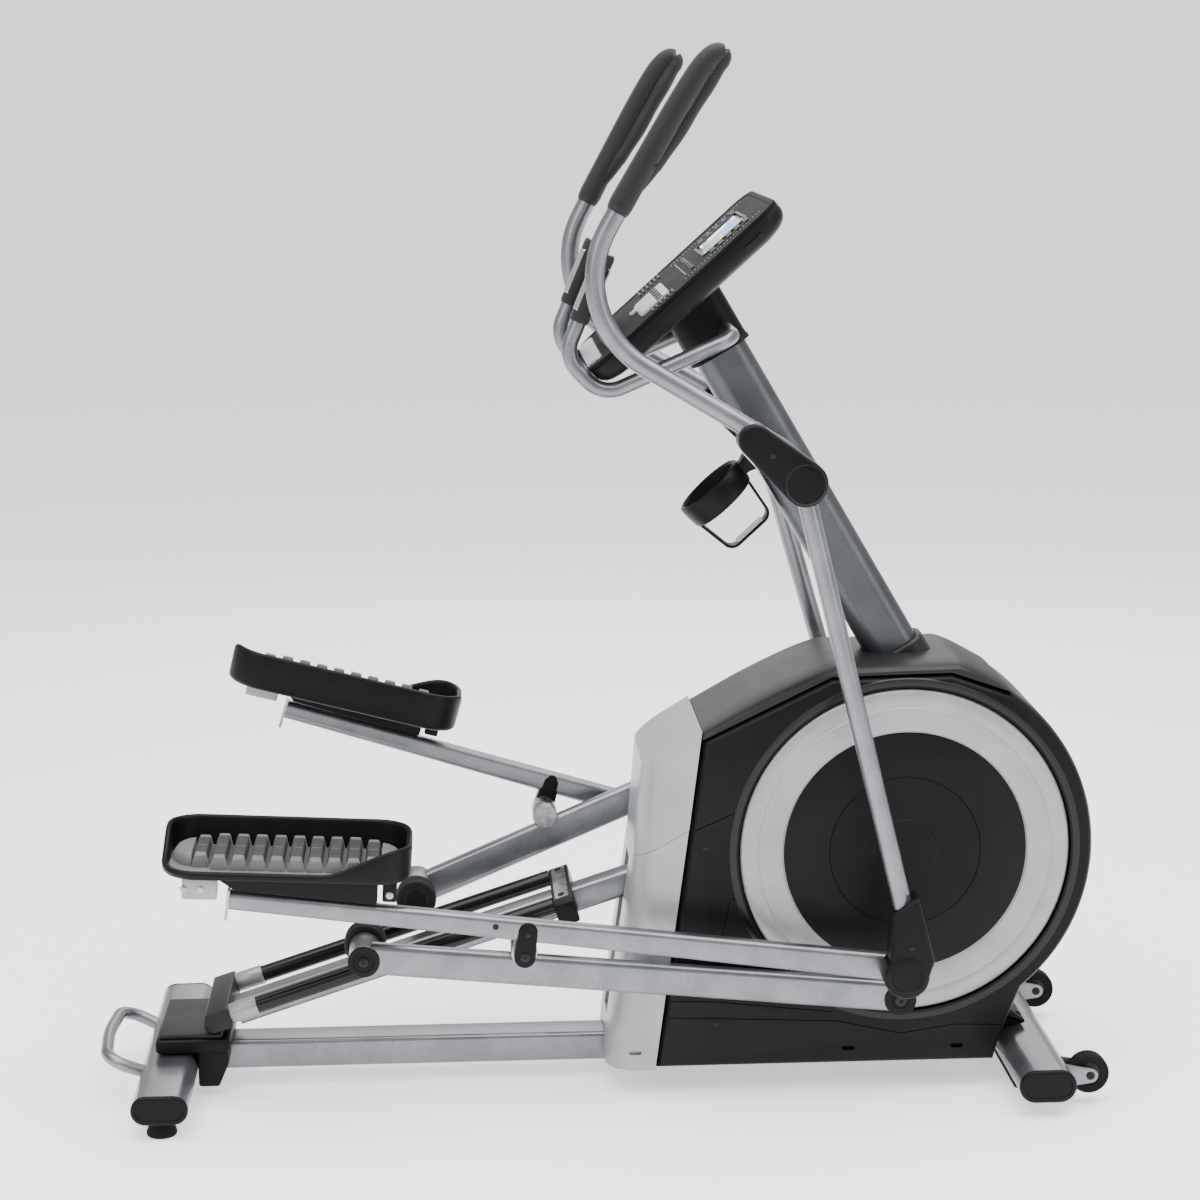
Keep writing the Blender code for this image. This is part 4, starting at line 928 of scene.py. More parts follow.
def makeHandle(side, name):
    pivot = pivots[name + "_handle_swing"]
    y = pivot.y
    body = name + "_handle"
    half = handle["coverHalf"]
    swung = leaning(side, name)
    corners = [swung(handle[k]) for k in ("start", "bend", "elbow", "foot")]
    line = filleted([(x, y, z) for x, z in corners], handle["bends"])
    makePiece("handleTube_" + name, pipe(line, handle["tube"], 40), "silverPowderCoatSteel", body,
              ["handle_tube_" + name])
    swing = handle["swingRight"]
    foot = swung((pivot.x + handle["lower"] * sin(swing), pivot.z - handle["lower"] * cos(swing)))
    stub = extrude(circle(*foot, 0.0130, 40), side * (pedalArm["outer"] + 0.0046), side * abs(y))
    makePiece("handleFootPin_" + name, stub, "zincPlatedSteel", body, ["handle_tube_" + name])

    # elbow cover: two half shells over the pivot
    sleeve = capsule((pivot.x, pivot.z), 0.0370, swung((0.2420, 1.1660)), 0.0268, 32)
    elbow = makePiece("elbowCover_" + name, extrude(sleeve, y - half, y + half, 0.0060, 4),
                      "blackMouldedAbs", body, ["handle_elbow_" + name])
    carve(elbow, pipe(line, handle["tube"] + 0.0004, 32))
    carve(elbow, extrude(circle(pivot.x, pivot.z, 0.0128, 40), side * (abs(y) - 0.04),
                         side * (abs(y) - 0.010)))
    carve(elbow, extrude(inset(sleeve, -0.004), y - 0.0005, y + 0.0005))
    ringRows = [(0.0335, half - 0.002), (0.0335, half + 0.0004), (0.0322, half + 0.0012),
                (0.0300, half + 0.0012), (0.0290, half - 0.0004)]
    ringRows = [(r, side * y + d) for r, d in ringRows]
    makePiece("elbowCap_" + name, lathe(ringRows, pivot.x, pivot.z, side), "glossBlackAbs", body)

    # foot cover: round cap at the pedal arm joint and a tapering shoe up the tube
    shoe = (arc(handle["cap"][0], handle["cap"][1], 0.0380, radians(136), radians(362), 36)
            + list(handle["shoe"]))
    outline = [swung(p) for p in shoe]
    footCover = makePiece("footCover_" + name, extrude(outline, y - half, y + half, 0.0060, 4),
                          "blackMouldedAbs", body, ["handle_foot_cover_" + name])
    carve(footCover, pipe(line, handle["tube"] + 0.0004, 32))
    carve(footCover, extrude(circle(*foot, 0.0138, 40), side * (abs(y) - 0.04), side * abs(y)))
    cap = swung(handle["cap"])
    rows = [(r, abs(y) + half + d) for r, d in ((0.0345, -0.002), (0.0345, 0.0012), (0.0330, 0.0022),
                                                (0.0260, 0.0026), (0.0250, 0.0014), (0.0010, 0.0014))]
    makePiece("footCap_" + name, lathe(rows, cap[0], cap[1], side), "blackMouldedAbs", body)
    for label, point in (("footCoverScrew_", (0.5080, 0.3160)), ("elbowScrew_", (0.2700, 1.1420))):
        x, z = swung(point)
        screws(label + name, [((x, y + side * half, z), (0, side, 0), 0.0042)], body)


def makeGrip(side, name):
    # a long loop of two soft bars with a sunk web; t runs up the bar, a towards the front, b inwards
    body = name + "_handle"
    swung = leaning(side, name)
    start, bend = [Vector((x, pivots[body + "_swing"].y, z))
                   for x, z in map(swung, (handle["start"], handle["bend"]))]
    d = (start - bend).normalized()
    lift = Vector((d.z, 0, -d.x))
    toMiddle = Vector((0, -side, 0))

    def gripPoint(t, a, b=0.0):
        return start + d * t + lift * a + toMiddle * b

    rearLine = [gripPoint(*p) for p in ((0.0004, 0.0, 0), (0.030, 0.0, 0), (0.110, 0.0008, -0.001),
                                        (0.190, 0.0020, -0.001), (0.246, 0.0045, 0.0), (0.272, 0.0085, 0.001),
                                        (0.2880, 0.0155, 0.003), (0.2925, 0.0240, 0.006))]
    rearLine = smoothLine(rearLine, 10)

    def rearRing(share):
        r = heightAt(grip["thick"], share)
        return [(1.06 * px, 0.98 * py) for px, py in circle(0, 0, r, 32)]
    frontLine = smoothLine([gripPoint(*p) for p in ((0.2925, 0.0240, 0.006), (0.2860, 0.0300, 0.008),
                                                    (0.262, 0.0292, 0.009), (0.200, 0.0262, 0.009),
                                                    (0.130, 0.0220, 0.008), (0.075, 0.0140, 0.006),
                                                    (0.030, 0.0040, 0.002))], 10)

    def frontRing(share):
        # finger grooves: shallow waves along the middle of the bar
        wave = grip["wave"] * cos(share * 2 * pi * grip["waves"]) if 0.2 < share < 0.8 else 0.0
        return circle(0, 0, grip["frontBar"] + wave, 28)
    makePiece("gripRearBar_" + name, sweep(rearLine, rearRing), "blackElastomer", body,
              ["handle_grip_" + name])
    makePiece("gripFrontBar_" + name, sweep(frontLine, frontRing), "blackElastomer", body,
              ["handle_grip_" + name])
    web = []
    for t, a0, a1 in ((0.060, 0.002, 0.010), (0.090, 0.002, 0.015), (0.150, 0.003, 0.021),
                      (0.220, 0.004, 0.025), (0.262, 0.007, 0.027), (0.278, 0.012, 0.026)):
        web.append([gripPoint(t, a, b) for a, b in ((a0, 0.010), (a1, 0.014), (a1, -0.002), (a0, -0.009))])
    makePiece("gripWeb_" + name, skin(web), "charcoalMouldedAbs", body, ["handle_grip_" + name])
    gripSpots = [(gripPoint(t, a, -0.0110), (0, side, 0), 0.0036)
                 for t, a in ((0.090, 0.018), (0.255, 0.026))]
    screws("gripScrews_" + name, gripSpots, body)
    collar = [start - d * 0.004, start - d * 0.003, start + d * 0.006, start + d * 0.008]
    makePiece("gripCollar_" + name, stepped(collar, (0.0168, 0.0178, 0.0182, 0.0172)), "blackElastomer", body)


for side, name in sides:
    makeHandle(side, name)
    makeGrip(side, name)
print("handles made")

# mast and console
mast = dict(foot=(0.5540, 0.700), lean=radians(30.3), long=0.670, section=(0.093, 0.076), corner=0.0300)
mastTop = along(mast["foot"], pi / 2 + mast["lean"], mast["long"])


def makeMast():
    section = roundRect(0, 0, *mast["section"], mast["corner"], 14)
    points = between((mast["foot"][0], 0, mast["foot"][1]), (mastTop[0], 0, mastTop[1]), 20)
    makePiece("mastTube", sweep(points, lambda share: section), "graphitePowderCoatSteel", "frame", ["mast"])
    at = pivots["right_handle_swing"]
    for side, name in sides:
        rows = [(0.0190, 0.034), (0.0190, 0.2535), (0.0180, 0.2555), (0.0120, 0.2560), (0.0120, 0.2720),
                (0.0110, 0.2732)]
        makePiece("pivotAxle_" + name, lathe(rows, at.x, at.z, side), "graphitePowderCoatSteel", "frame",
                  ["mast"])


face = dict(top=(0.2870, 1.5410), slope=radians(42), long=0.410, half=0.200, corner=0.045, keyDown=0.2900)
screen = dict(down=0.0960, tall=0.0892, wide=0.1512, corner=0.004, gap=0.0008, glow=0.5,
              shades=dict(sky="#0d6cc4", land="#2c8418", sand="#d09a00", bar="#eef2f5", night="#101a28"))


def onFace(down, out=0.0):
    # down the console's face from its top edge, and out from it
    angle = face["slope"] + pi
    return (face["top"][0] + down * cos(angle) - out * sin(face["slope"]),
            face["top"][1] + down * sin(angle) + out * cos(face["slope"]))


def facePoint(down, y, out):
    x, z = onFace(down, out)
    return (x, y, z)


def faceLayers(layers):
    return skin([[facePoint(d, y, out) for d, y in outline] for out, outline in layers])


def faceBlock(cx, cy, long, wide, radius, low, high, edge=0.0012, steps=6):
    outline = roundRect(cx, cy, long, wide, radius, steps)
    rows = [(low, outline), (high - edge, outline), (high - edge * 0.3, inset(outline, edge * 0.3)),
            (high, inset(outline, edge))]
    return faceLayers(rows)


def makeConsole():
    half, corner = face["half"], face["corner"]
    middle = face["long"] / 2
    shape = roundRect(middle, 0.0, face["long"], 2 * half, corner, 12)
    # back shell with a rounded belly
    rows = []
    for out, cut, ends in ((-0.0450, 0.0420, 0.010), (-0.0446, 0.0340, 0.008), (-0.0432, 0.0250, 0.006),
                           (-0.0400, 0.0150, 0.004), (-0.0350, 0.0075, 0.002), (-0.0280, 0.0028, 0.001),
                           (-0.0200, 0.0004, 0.0), (-0.0100, 0.0, 0.0), (-0.0074, 0.0, 0.0),
                           (-0.0063, 0.0012, 0.0)):
        rows.append((out, roundRect(middle, 0.0, face["long"] - 2 * cut - 2 * ends, 2 * half - 2 * cut,
                                    max(0.012, corner - cut * 0.6), 12)))
    back = makePiece("consoleBack", faceLayers(rows), "blackMouldedAbs", "frame", ["console_back"])
    lean = pi / 2 + mast["lean"]
    start, stop = along(mastTop, lean, 0.0003), along(mastTop, lean, 0.1080)
    neck = roundRect(0, 0, 0.108, 0.088, 0.032, 10)

    def neckRing(share):
        grow = 1.0 + 0.05 * (1 - smooth(share * 8))
        return [(a * grow, b * grow) for a, b in neck]
    collar = sweep(between((start[0], 0, start[1]), (stop[0], 0, stop[1]), 24), neckRing)
    makePiece("consoleNeck", collar, "blackMouldedAbs", "frame", ["console_back"])
    # face shell: a raised rim, a slightly sunk field, and the screen's recess
    rows = [(-0.0060, shape), (-0.0018, shape), (-0.0006, inset(shape, 0.0012)), (0.0, inset(shape, 0.0035)),
            (0.0, inset(shape, 0.0090)), (-0.0012, inset(shape, 0.0105))]
    front = makePiece("consoleFace", faceLayers(rows), "etchedBlackAbs", "frame", ["console_face"])
    opening = roundRect(screen["down"], 0.0, screen["tall"], screen["wide"], screen["corner"], 4)
    carve(front, faceLayers([(out, opening) for out in (-0.0036, 0.01)]))
    carve(front, faceLayers([(out, roundRect(face["keyDown"], 0.0, 0.0220, 0.0280, 0.005, 6))
                             for out in (-0.0046, 0.01)]))


def makeScreen():
    down, tall, wide, corner = (screen[k] for k in ("down", "tall", "wide", "corner"))
    bezel = [roundRect(down, 0.0, tall + g, wide + g, corner + g / 2, 6) for g in (0.010, 0.0085, 0.0)]
    ring = skin([[facePoint(d, y, out) for d, y in o]
                 for out, o in ((-0.0010, bezel[0]), (0.0006, bezel[1]), (0.0006, bezel[2]),
                                (-0.0030, bezel[2]))], caps=False)
    makePiece("screenBezel", ring, "blackMouldedAbs", "frame", ["console_face"])
    pane = faceBlock(down, 0.0, tall - 2 * screen["gap"], wide - 2 * screen["gap"], 0.003, -0.0033, -0.0012,
                     0.0003)
    makePiece("screenPane", pane, "hardCoatPolycarbonate", "frame", ["display_screen"])
    # the lit picture: a plain made-up map with a pale side bar
    lit = {}
    for label, hexText in screen["shades"].items():
        paint = bpy.data.materials.new("litLcd_" + label)  # backlit panel: glows a little through the pane
        paint.use_nodes = True
        tree = paint.node_tree
        shader = tree.nodes["Principled BSDF"]
        grid = addNode(tree, "ShaderNodeTexNoise", {"Scale": 160.0, "Detail": 2.0})
        tone = linear(hexText)
        dim = [c * 0.82 for c in tone[:3]] + [1.0]
        tree.links.new(ramp(tree, grid.outputs["Fac"], ((0.35, dim), (0.65, tone))),
                       shader.inputs["Base Color"])
        for socket, value in (("Roughness", 0.25), ("Emission Color", tone), ("Specular IOR Level", 0.1),
                              ("Emission Strength", screen["glow"])):
            shader.inputs[socket].default_value = value
        lit[label] = paint
    # down, across, long, wide, lift and shade of every field of colour
    glow = ((0.0960, 0.0, 0.0800, 0.1400, 0.0, "night"), (0.0960, 0.0500, 0.0780, 0.0380, 0.00006, "bar"),
            (0.0900, -0.0200, 0.0640, 0.0960, 0.00006, "sky"),
            (0.1120, -0.0200, 0.0220, 0.0960, 0.00010, "land"),
            (0.1000, -0.0330, 0.0100, 0.0500, 0.00014, "sand"),
            (0.0700, 0.0500, 0.0120, 0.0300, 0.00010, "sky"),
            (0.1240, 0.0500, 0.0120, 0.0300, 0.00010, "night"))
    for i, (down, y, long, wide, up, label) in enumerate(glow):
        bm = faceLayers([(-0.0012 + o, roundRect(down, y, long, wide, 0.0015, 3))
                         for o in (up, up + 0.00005)])
        made = makePiece("screenPicture_%d" % i, bm, "hardCoatPolycarbonate", "frame", ["display_screen"])
        made.data.materials[0] = lit[label]


def makeConsoleKeys():
    # small pads beside and under the screen, and printed marks as thin raised dashes
    keys = [faceBlock(down, across, 0.0105, 0.0150, 0.0025, -0.0014, 0.0010, 0.0006, 3)
            for down in (0.0540, 0.0720, 0.0900, 0.1080, 0.1260)
            for across in (-0.0970, -0.1170, 0.0970, 0.1170)]
    keys += [faceBlock(0.1700, -0.0900 + 0.030 * k, 0.0080, 0.0200, 0.002, -0.0014, 0.0010, 0.0006, 3)
             for k in range(7)]
    makePiece("consoleKeys", merged(keys), "charcoalMouldedAbs", "frame", ["console_face"])
    dashes = [faceBlock(0.1860, -0.0980 + 0.0280 * k, 0.0018, 0.0120, 0.0006, -0.0014, 0.0004, 0.0002, 2)
              for k in range(8)]
    dashes += [faceBlock(0.030 + 0.0070 * k, across, 0.0018, 0.0018, 0.0006, -0.0014, 0.0002, 0.0002, 2)
               for across in (-0.1450, 0.1450) for k in range(24)]
    makePiece("consoleMarks", merged(dashes), "silverPigmentAbs", "frame", ["console_face"])
    pad = faceBlock(0.2560, -0.0400, 0.0620, 0.1800, 0.012, -0.0012, 0.0020, 0.0012, 8)
    makePiece("controlPad", pad, "silverPigmentAbs", "frame", ["console_face"])
    padKeys = [faceBlock(0.2440, -0.1100 + 0.0350 * k, 0.0130, 0.0240, 0.003, 0.0010, 0.0030, 0.0008, 4)
               for k in range(5)]
    makePiece("controlPadKeys", merged(padKeys), "blackMouldedAbs", "frame", ["console_face"])
    makePiece("startKey", faceBlock(face["keyDown"], 0.0, 0.0200, 0.0260, 0.005, -0.0025, 0.0022, 0.0010, 6),
              "silverPigmentAbs", "start_key", ["start_key"])


def makeConsoleTrim():
    # ledge for a tablet, its rubber pad, and the silver strip at the lower edge
    strips = {"tabletLip": (0.3480, 0.0, 0.0300, 0.2600, 0.010, -0.0030, 0.0160, 0.0040, 8),
              "tabletLipPad": (0.3480, 0.0, 0.0140, 0.2300, 0.006, 0.0150, 0.0168, 0.0010, 6),
              "consoleLowerTrim": (0.3920, 0.0, 0.0300, 0.3000, 0.012, -0.0012, 0.0026, 0.0018, 8)}
    stripFinishes = ("charcoalMouldedAbs", "curedRubber", "silverPigmentAbs")
    for (label, block), finish in zip(strips.items(), stripFinishes):
        makePiece(label, faceBlock(*block), finish, "frame", ["console_face"])
    ribs = [faceBlock(0.2200 + 0.0090 * k, across, 0.0036, 0.0560, 0.0016, -0.0014, 0.0006, 0.0004, 3)
            for across in (-0.1500, 0.1500) for k in range(6)]
    makePiece("speakerRibs", merged(ribs), "blackMouldedAbs", "frame", ["console_face"])
    # side vents and edge screws
    half = face["half"]
    spots = []
    for side, name in sides:
        vent = [faceLayers([(out, roundRect(0.0700, side * (half - 0.0005), 0.0360, 0.0050, 0.0015, 3))
                            for out in (-0.0290, -0.0225)])]
        vent.append(faceLayers([(out, roundRect(0.0560, side * (half - 0.0006), 0.0080, 0.0060, 0.0015, 3))
                                for out in (-0.0300, -0.0215)]))
        makePiece("consoleVent_" + name, merged(vent), "glossBlackAbs", "frame", ["console_back"])
        for down, out in ((0.150, -0.024), (0.270, -0.024)):
            spots.append((facePoint(down, side * (half - 0.0060), out), (0, side, 0), 0.0042))
    screws("consoleScrews", spots, "frame")


pulse = dict(bends=((0.0135, 1.4558), (-0.0560, 1.2888), (0.0060, 1.2238), (0.2220, 1.3180)), across=0.170,
             radii=(0.050, 0.050, 0.040, 0.040, 0.050, 0.050), tube=0.0130, plateSpread=0.95)


def makePulseBar():
    bends, across = pulse["bends"], pulse["across"]
    right = [(x, -across, z) for x, z in bends]
    left = [(x, across, z) for x, z in bends]
    line = filleted(right + left[::-1], pulse["radii"])
    makePiece("pulseBar", pipe(line, pulse["tube"], 36), "silverPowderCoatSteel", "frame", ["pulse_bar"])
    for side, name in sides:
        top, corner = [Vector((x, side * across, z)) for x, z in bends[:2]]
        d = (corner - top).normalized()
        rows = [(0.0008, 0.0134), (0.0008, 0.0150), (0.0040, 0.0162), (0.0080, 0.0166), (0.0300, 0.0160),
                (0.0600, 0.0166), (0.0900, 0.0160), (0.1120, 0.0166), (0.1160, 0.0162), (0.1192, 0.0150),
                (0.1192, 0.0134)]
        lift = Vector((d.z, 0, -d.x))
        rings = [spun(top + d * t, lift, r, turns(40)) for t, r in rows]
        makePiece("pulseGrip_" + name, skin(rings, closed=True), "blackElastomer", "frame",
                  ["pulse_grip_" + name])
        # steel sensor plates, split along the grip
        for turn, label in ((0.0, "front"), (pi, "rear")):
            rings = []
            spread = [turn + pulse["plateSpread"] * (k / 6 - 1) for k in range(13)]
            for t, r in ((0.020, 0.0158), (0.022, 0.0172), (0.100, 0.0172), (0.102, 0.0158)):
                rings.append(spun(top + d * t, lift, r, spread)
                             + spun(top + d * t, lift, 0.0150, spread[::-1]))
            makePiece("pulseSensor_%s_%s" % (label, name), skin(rings), "chromePlatedSteel", "frame",
                      ["pulse_grip_" + name])
        cap = [top - d * t for t in (0.0022, 0.0014, 0.0, -0.002)]
        makePiece("pulseBarCap_" + name, stepped(cap, (0.0100, 0.0136, 0.0140, 0.0132)), "silverPigmentAbs",
                  "frame", ["pulse_bar"])


bottle = dict(middle=(0.2085, 0.0, 1.0358), tilt=radians(42.5), strapHalf=0.0560, seatHalf=0.0450,
              drop=0.0930)


def makeBottleHolder():
    middle = Vector(bottle["middle"])
    tilt = bottle["tilt"]
    out = Vector((cos(tilt), 0, sin(tilt)))
    down = Vector((sin(tilt), 0, -cos(tilt)))
    rows = [(0.0575, -0.0185), (0.0600, -0.0190), (0.0625, -0.0170), (0.0638, -0.0130), (0.0636, 0.0),
            (0.0622, 0.0180), (0.0608, 0.0225), (0.0582, 0.0245), (0.0556, 0.0238), (0.0538, 0.0205),
            (0.0536, 0.0), (0.0548, -0.0150)]
    rings = [spun(middle + down * t, out, r, turns(72)) for r, t in rows]
    makePiece("bottleRing", skin(rings, closed=True), "blackMouldedAbs", "frame", ["bottle_holder"])
    ends = ((-bottle["strapHalf"], 0.018), (-bottle["seatHalf"], bottle["drop"]),
            (bottle["seatHalf"], bottle["drop"]), (bottle["strapHalf"], 0.018))
    corners = [middle + out * a + down * b for a, b in ends]
    flat = roundRect(0, 0, 0.0050, 0.0320, 0.0022, 5)
    makePiece("bottleStrap", sweep(filleted(corners, [0.018, 0.018]), lambda share: flat), "blackMouldedAbs",
              "frame", ["bottle_holder"])
    plate = [middle + out * s + down * (bottle["drop"] - 0.0045) for s in (-0.0290, -0.0288, 0.0288, 0.0290)]
    sizes = (0.7, 1.0, 1.0, 0.7)
    seat = [[(a * k, b * k) for a, b in roundRect(0, 0, 0.0034, 0.0300, 0.0015, 4)] for k in sizes]
    makePiece("bottleSeat", sweep(plate, lambda share: seat[round(share * 3)]), "silverPigmentAbs", "frame",
              ["bottle_holder"])
    arm = [middle + out * s for s in (0.0600, 0.0680, 0.0740, 0.0800)]
    wide = [roundRect(0, 0, 0.0240 + g, 0.0400 + g, 0.008, 6) for g in (0.0, 0.0, 0.004, 0.008)]
    makePiece("bottleBracket", sweep(arm, lambda share: wide[round(share * 3)]), "blackMouldedAbs", "frame",
              ["bottle_holder"])


makeMast()
makeConsole()
makeScreen()
makeConsoleKeys()
makeConsoleTrim()
makePulseBar()
makeBottleHolder()
print("mast, console and bars made")

# drive housing
crank = pivots["crank_spin"]
shell = dict(radius=0.3280, wall=0.0065, recess=0.2870, groove=0.0016)


def shellOutline():
    return ([(0.0960, 0.0480), (0.6880, 0.0480), (0.6980, 0.0900)]
            + arc(crank.x, crank.z, shell["radius"], radians(-50), radians(56), 48)
            + [(0.6000, 0.7420), (0.3950, 0.7380), (0.1760, 0.6320), (0.1540, 0.4760)])


def mastRoom(stop=0.20):
    lean = pi / 2 + mast["lean"]
    a, b = along(mast["foot"], lean, -0.05), along(mast["foot"], lean, stop)
    section = roundRect(0, 0, 0.0954, 0.0784, 0.031, 10)
    return sweep([(a[0], 0, a[1]), (b[0], 0, b[1])], lambda share: section)


def grooveBand(line, half, y0, y1):
    # a narrow slot that follows a line of (x, z) points
    left, right = [], []
    for i, point in enumerate(line):
        ahead = Vector(line[min(i + 1, len(line) - 1)])
        d = (ahead - Vector(line[max(i - 1, 0)])).normalized()
        left.append((point[0] - d.y * half, point[1] + d.x * half))
        right.append((point[0] + d.y * half, point[1] - d.x * half))
    return extrude(right + left[::-1], y0, y1)


def makeHousing():
    outline = shellOutline()
    for side, name in sides:
        rows = [(0.0005, 0.0), (0.1120, 0.0)]
        for k in range(1, 7):
            turn = pi / 2 * k / 6
            rows.append((0.1120 + 0.0320 * sin(turn), 0.0120 * (1 - cos(turn))))
        made = makePiece("driveShell_" + name, stacked(outline, rows, side), "blackMouldedAbs", "frame",
                         ["housing_" + name])
        carve(made, extrude(circle(crank.x, crank.z, shell["recess"], 128), side * 0.1312, side * 0.2))
        hollow = [(x, z - 0.030 if z < 0.10 else z) for x, z in inset(outline, shell["wall"])]
        carve(made, extrude(hollow, side * -0.02, side * 0.1255))
        carve(made, extrude(circle(crank.x, crank.z, 0.0162, 40), side * 0.10, side * 0.18))
        carve(made, extrude(roundRect(0.40, 0.0300, 0.80, 0.1060, 0.002, 2), side * -0.01, side * 0.0370))
        carve(made, extrude([(0.050, 0.0750), (0.175, 0.0750), (0.175, 0.4350), (0.050, 0.4350)],
                            side * -0.01, side * 0.0320))
        carve(made, mastRoom())
        # panel joints, drawn as sunk lines
        lines = (((0.1500, 0.4700), (0.2450, 0.5120), (0.2600, 0.5200)),
                 ((0.2360, 0.3560), (0.2230, 0.3510), (0.2080, 0.2810), (0.2050, 0.2300)),
                 ((0.1100, 0.1720), (0.1940, 0.1700), (0.3200, 0.1560), (0.4010, 0.1470)),
                 ((0.1020, 0.1430), (0.1870, 0.1400), (0.4100, 0.1300), (0.5210, 0.1050), (0.6160, 0.1190),
                  (0.7000, 0.1160)))
        for line in lines:
            carve(made, grooveBand(line, shell["groove"] / 2, side * 0.1405, side * 0.2))
        for x in (0.43, 0.62):
            carve(made, extrude(obround(x, 0.080, 0.022, 0.008, 8), side * 0.1330, side * 0.2))
        trim = [(r, y) for r, y in ((0.2905, 0.1425), (0.2905, 0.1444), (0.2955, 0.1452), (0.3020, 0.1446),
                                    (0.3040, 0.1425))]
        makePiece("shellRim_" + name, lathe(trim, crank.x, crank.z, side, 128, closed=True), "glossBlackAbs",
                  "frame", ["housing_" + name])
        spots = [((0.2000, side * 0.1440, 0.1300), (0, side, 0), 0.0050),
                 ((0.1800, side * 0.1435, 0.4450), (0, side, 0), 0.0046),
                 ((0.6700, side * 0.1400, 0.0900), (0, side, 0), 0.0050)]
        screws("shellScrews_" + name, spots, "frame")
    # front tongue over the front bar
    tongue = roundCorners([(0.6900, 0.0830), (0.7350, 0.0850), (0.7560, 0.0905), (0.7560, 0.0950),
                           (0.7210, 0.1210), (0.7000, 0.1250), (0.6700, 0.1250)], 0.010, 5)
    makePiece("frontTongue", extrude(tongue, -0.0700, 0.0700, 0.006), "blackMouldedAbs", "frame",
              ["housing_right"])
    spots = [((0.7480, y, 0.1010), (0.55, 0, 0.83), 0.0065) for y in (-0.045, 0.045)]
    screws("frontTongueBolts", spots, "frame", drive="hex")


seam = 0.54 / 0.925  # rise over run of the joint between the two fairings


def fairing(points, name, node, closedTop):
    # rear panel with rounded rear corners, hollow inside
    def section(shift):
        return [(x, z) if rise is None else (x + shift, z + shift * rise) for x, z, rise in points]
    rows = [(0.0800, 0.0)]
    for k in range(1, 9):
        turn = pi / 2 * k / 8
        rows.append((0.0800 + 0.0580 * sin(turn), 0.0520 * (1 - cos(turn))))
    half = [(y, section(s)) for y, s in rows]
    whole = [(-y, o) for y, o in reversed(half)] + half
    made = makePiece(name, skin([[(x, y, z) for x, z in o] for y, o in whole]), "silverPigmentAbs", "frame",
                     [node])
    room = [(x + 0.060, z) if rise is None else (x + 0.020, z) for x, z, rise in points]
    if closedTop:
        low, high = min(z for x, z in room), max(z for x, z in room)
        room = [(x, z - 0.010 if z > (low + high) / 2 else z - 0.05) for x, z in room]
    else:
        room = [(x, z + 0.05 if z > 0.3 else z - 0.05) for x, z in room]
    carve(made, extrude(room, -0.1180, 0.1180))
    return made


def makeFairing():
    lower = fairing([(0.0945, 0.0460, None), (0.1525, 0.4740, None), (0.0600, 0.4200, seam),
                     (0.0130, 0.0900, 0.0), (0.0100, 0.0460, 0.0)], "fairingLower", "rear_fairing_lower",
                    False)
    carve(lower, extrude([(-0.02, 0.115), (0.07, 0.115), (0.12, 0.400), (-0.02, 0.400)], -0.0320, 0.0320))
    carve(lower, extrude([(-0.02, 0.0), (0.12, 0.0), (0.12, 0.0830), (-0.02, 0.0830)], -0.0370, 0.0370))
    for side, name in sides:
        carve(lower, extrude(obround(0.0600, 0.0780, 0.022, 0.008, 8), side * 0.1300, side * 0.2))
    fairing([(0.1530, 0.4752, None), (0.1750, 0.6470, None), (0.0750, 0.5860, 0.61), (0.0605, 0.4212, seam)],
            "fairingUpper", "rear_fairing_upper", True)


def makeTopCover():
    seat = [(0.1762, 0.6330), (0.3950, 0.7388), (0.6000, 0.7428), (0.7070, 0.7060)]
    crown = [(0.6960, 0.7190), (0.6240, 0.7570), (0.5800, 0.7600), (0.4500, 0.7570), (0.3880, 0.7530),
             (0.2810, 0.7060), (0.1762, 0.6480)]
    curve = [(p.x, p.y) for p in smoothLine([Vector(p) for p in crown], 5)]
    rows = [(0.050, 0.0), (0.085, 0.0008), (0.110, 0.0025), (0.126, 0.0052), (0.134, 0.0078), (0.139, 0.0120)]
    half = [(y, seat + [(x, max(z - fall, heightAt(seat, x) + 0.0006)) for x, z in curve])
            for y, fall in rows]
    whole = [(-y, o) for y, o in reversed(half)] + half
    made = makePiece("topCover", skin([[(x, y, z) for x, z in o] for y, o in whole]), "charcoalMouldedAbs",
                     "frame", ["top_cover"])
    carve(made, mastRoom())
    # collar round the mast, sloped like it
    lean = pi / 2 + mast["lean"]
    a, b = along(mast["foot"], lean, 0.030), along(mast["foot"], lean, 0.072)
    ringOut, ringIn = roundRect(0, 0, 0.112, 0.094, 0.034, 10), roundRect(0, 0, 0.0956, 0.0786, 0.031, 10)
    across = Vector((sin(lean), 0, -cos(lean)))
    rings = []
    for outline, place in ((ringOut, a), (ringOut, along(b, lean, -0.004)), (inset(ringOut, 0.003), b),
                           (ringIn, b), (ringIn, a)):
        rings.append([Vector((place[0], 0, place[1])) + across * u + Vector((0, v, 0)) for u, v in outline])
    makePiece("mastCollar", skin(rings, closed=True), "charcoalMouldedAbs", "frame", ["top_cover"])


disc = dict(outer=0.2835, y0=0.1320, y1=0.1450)


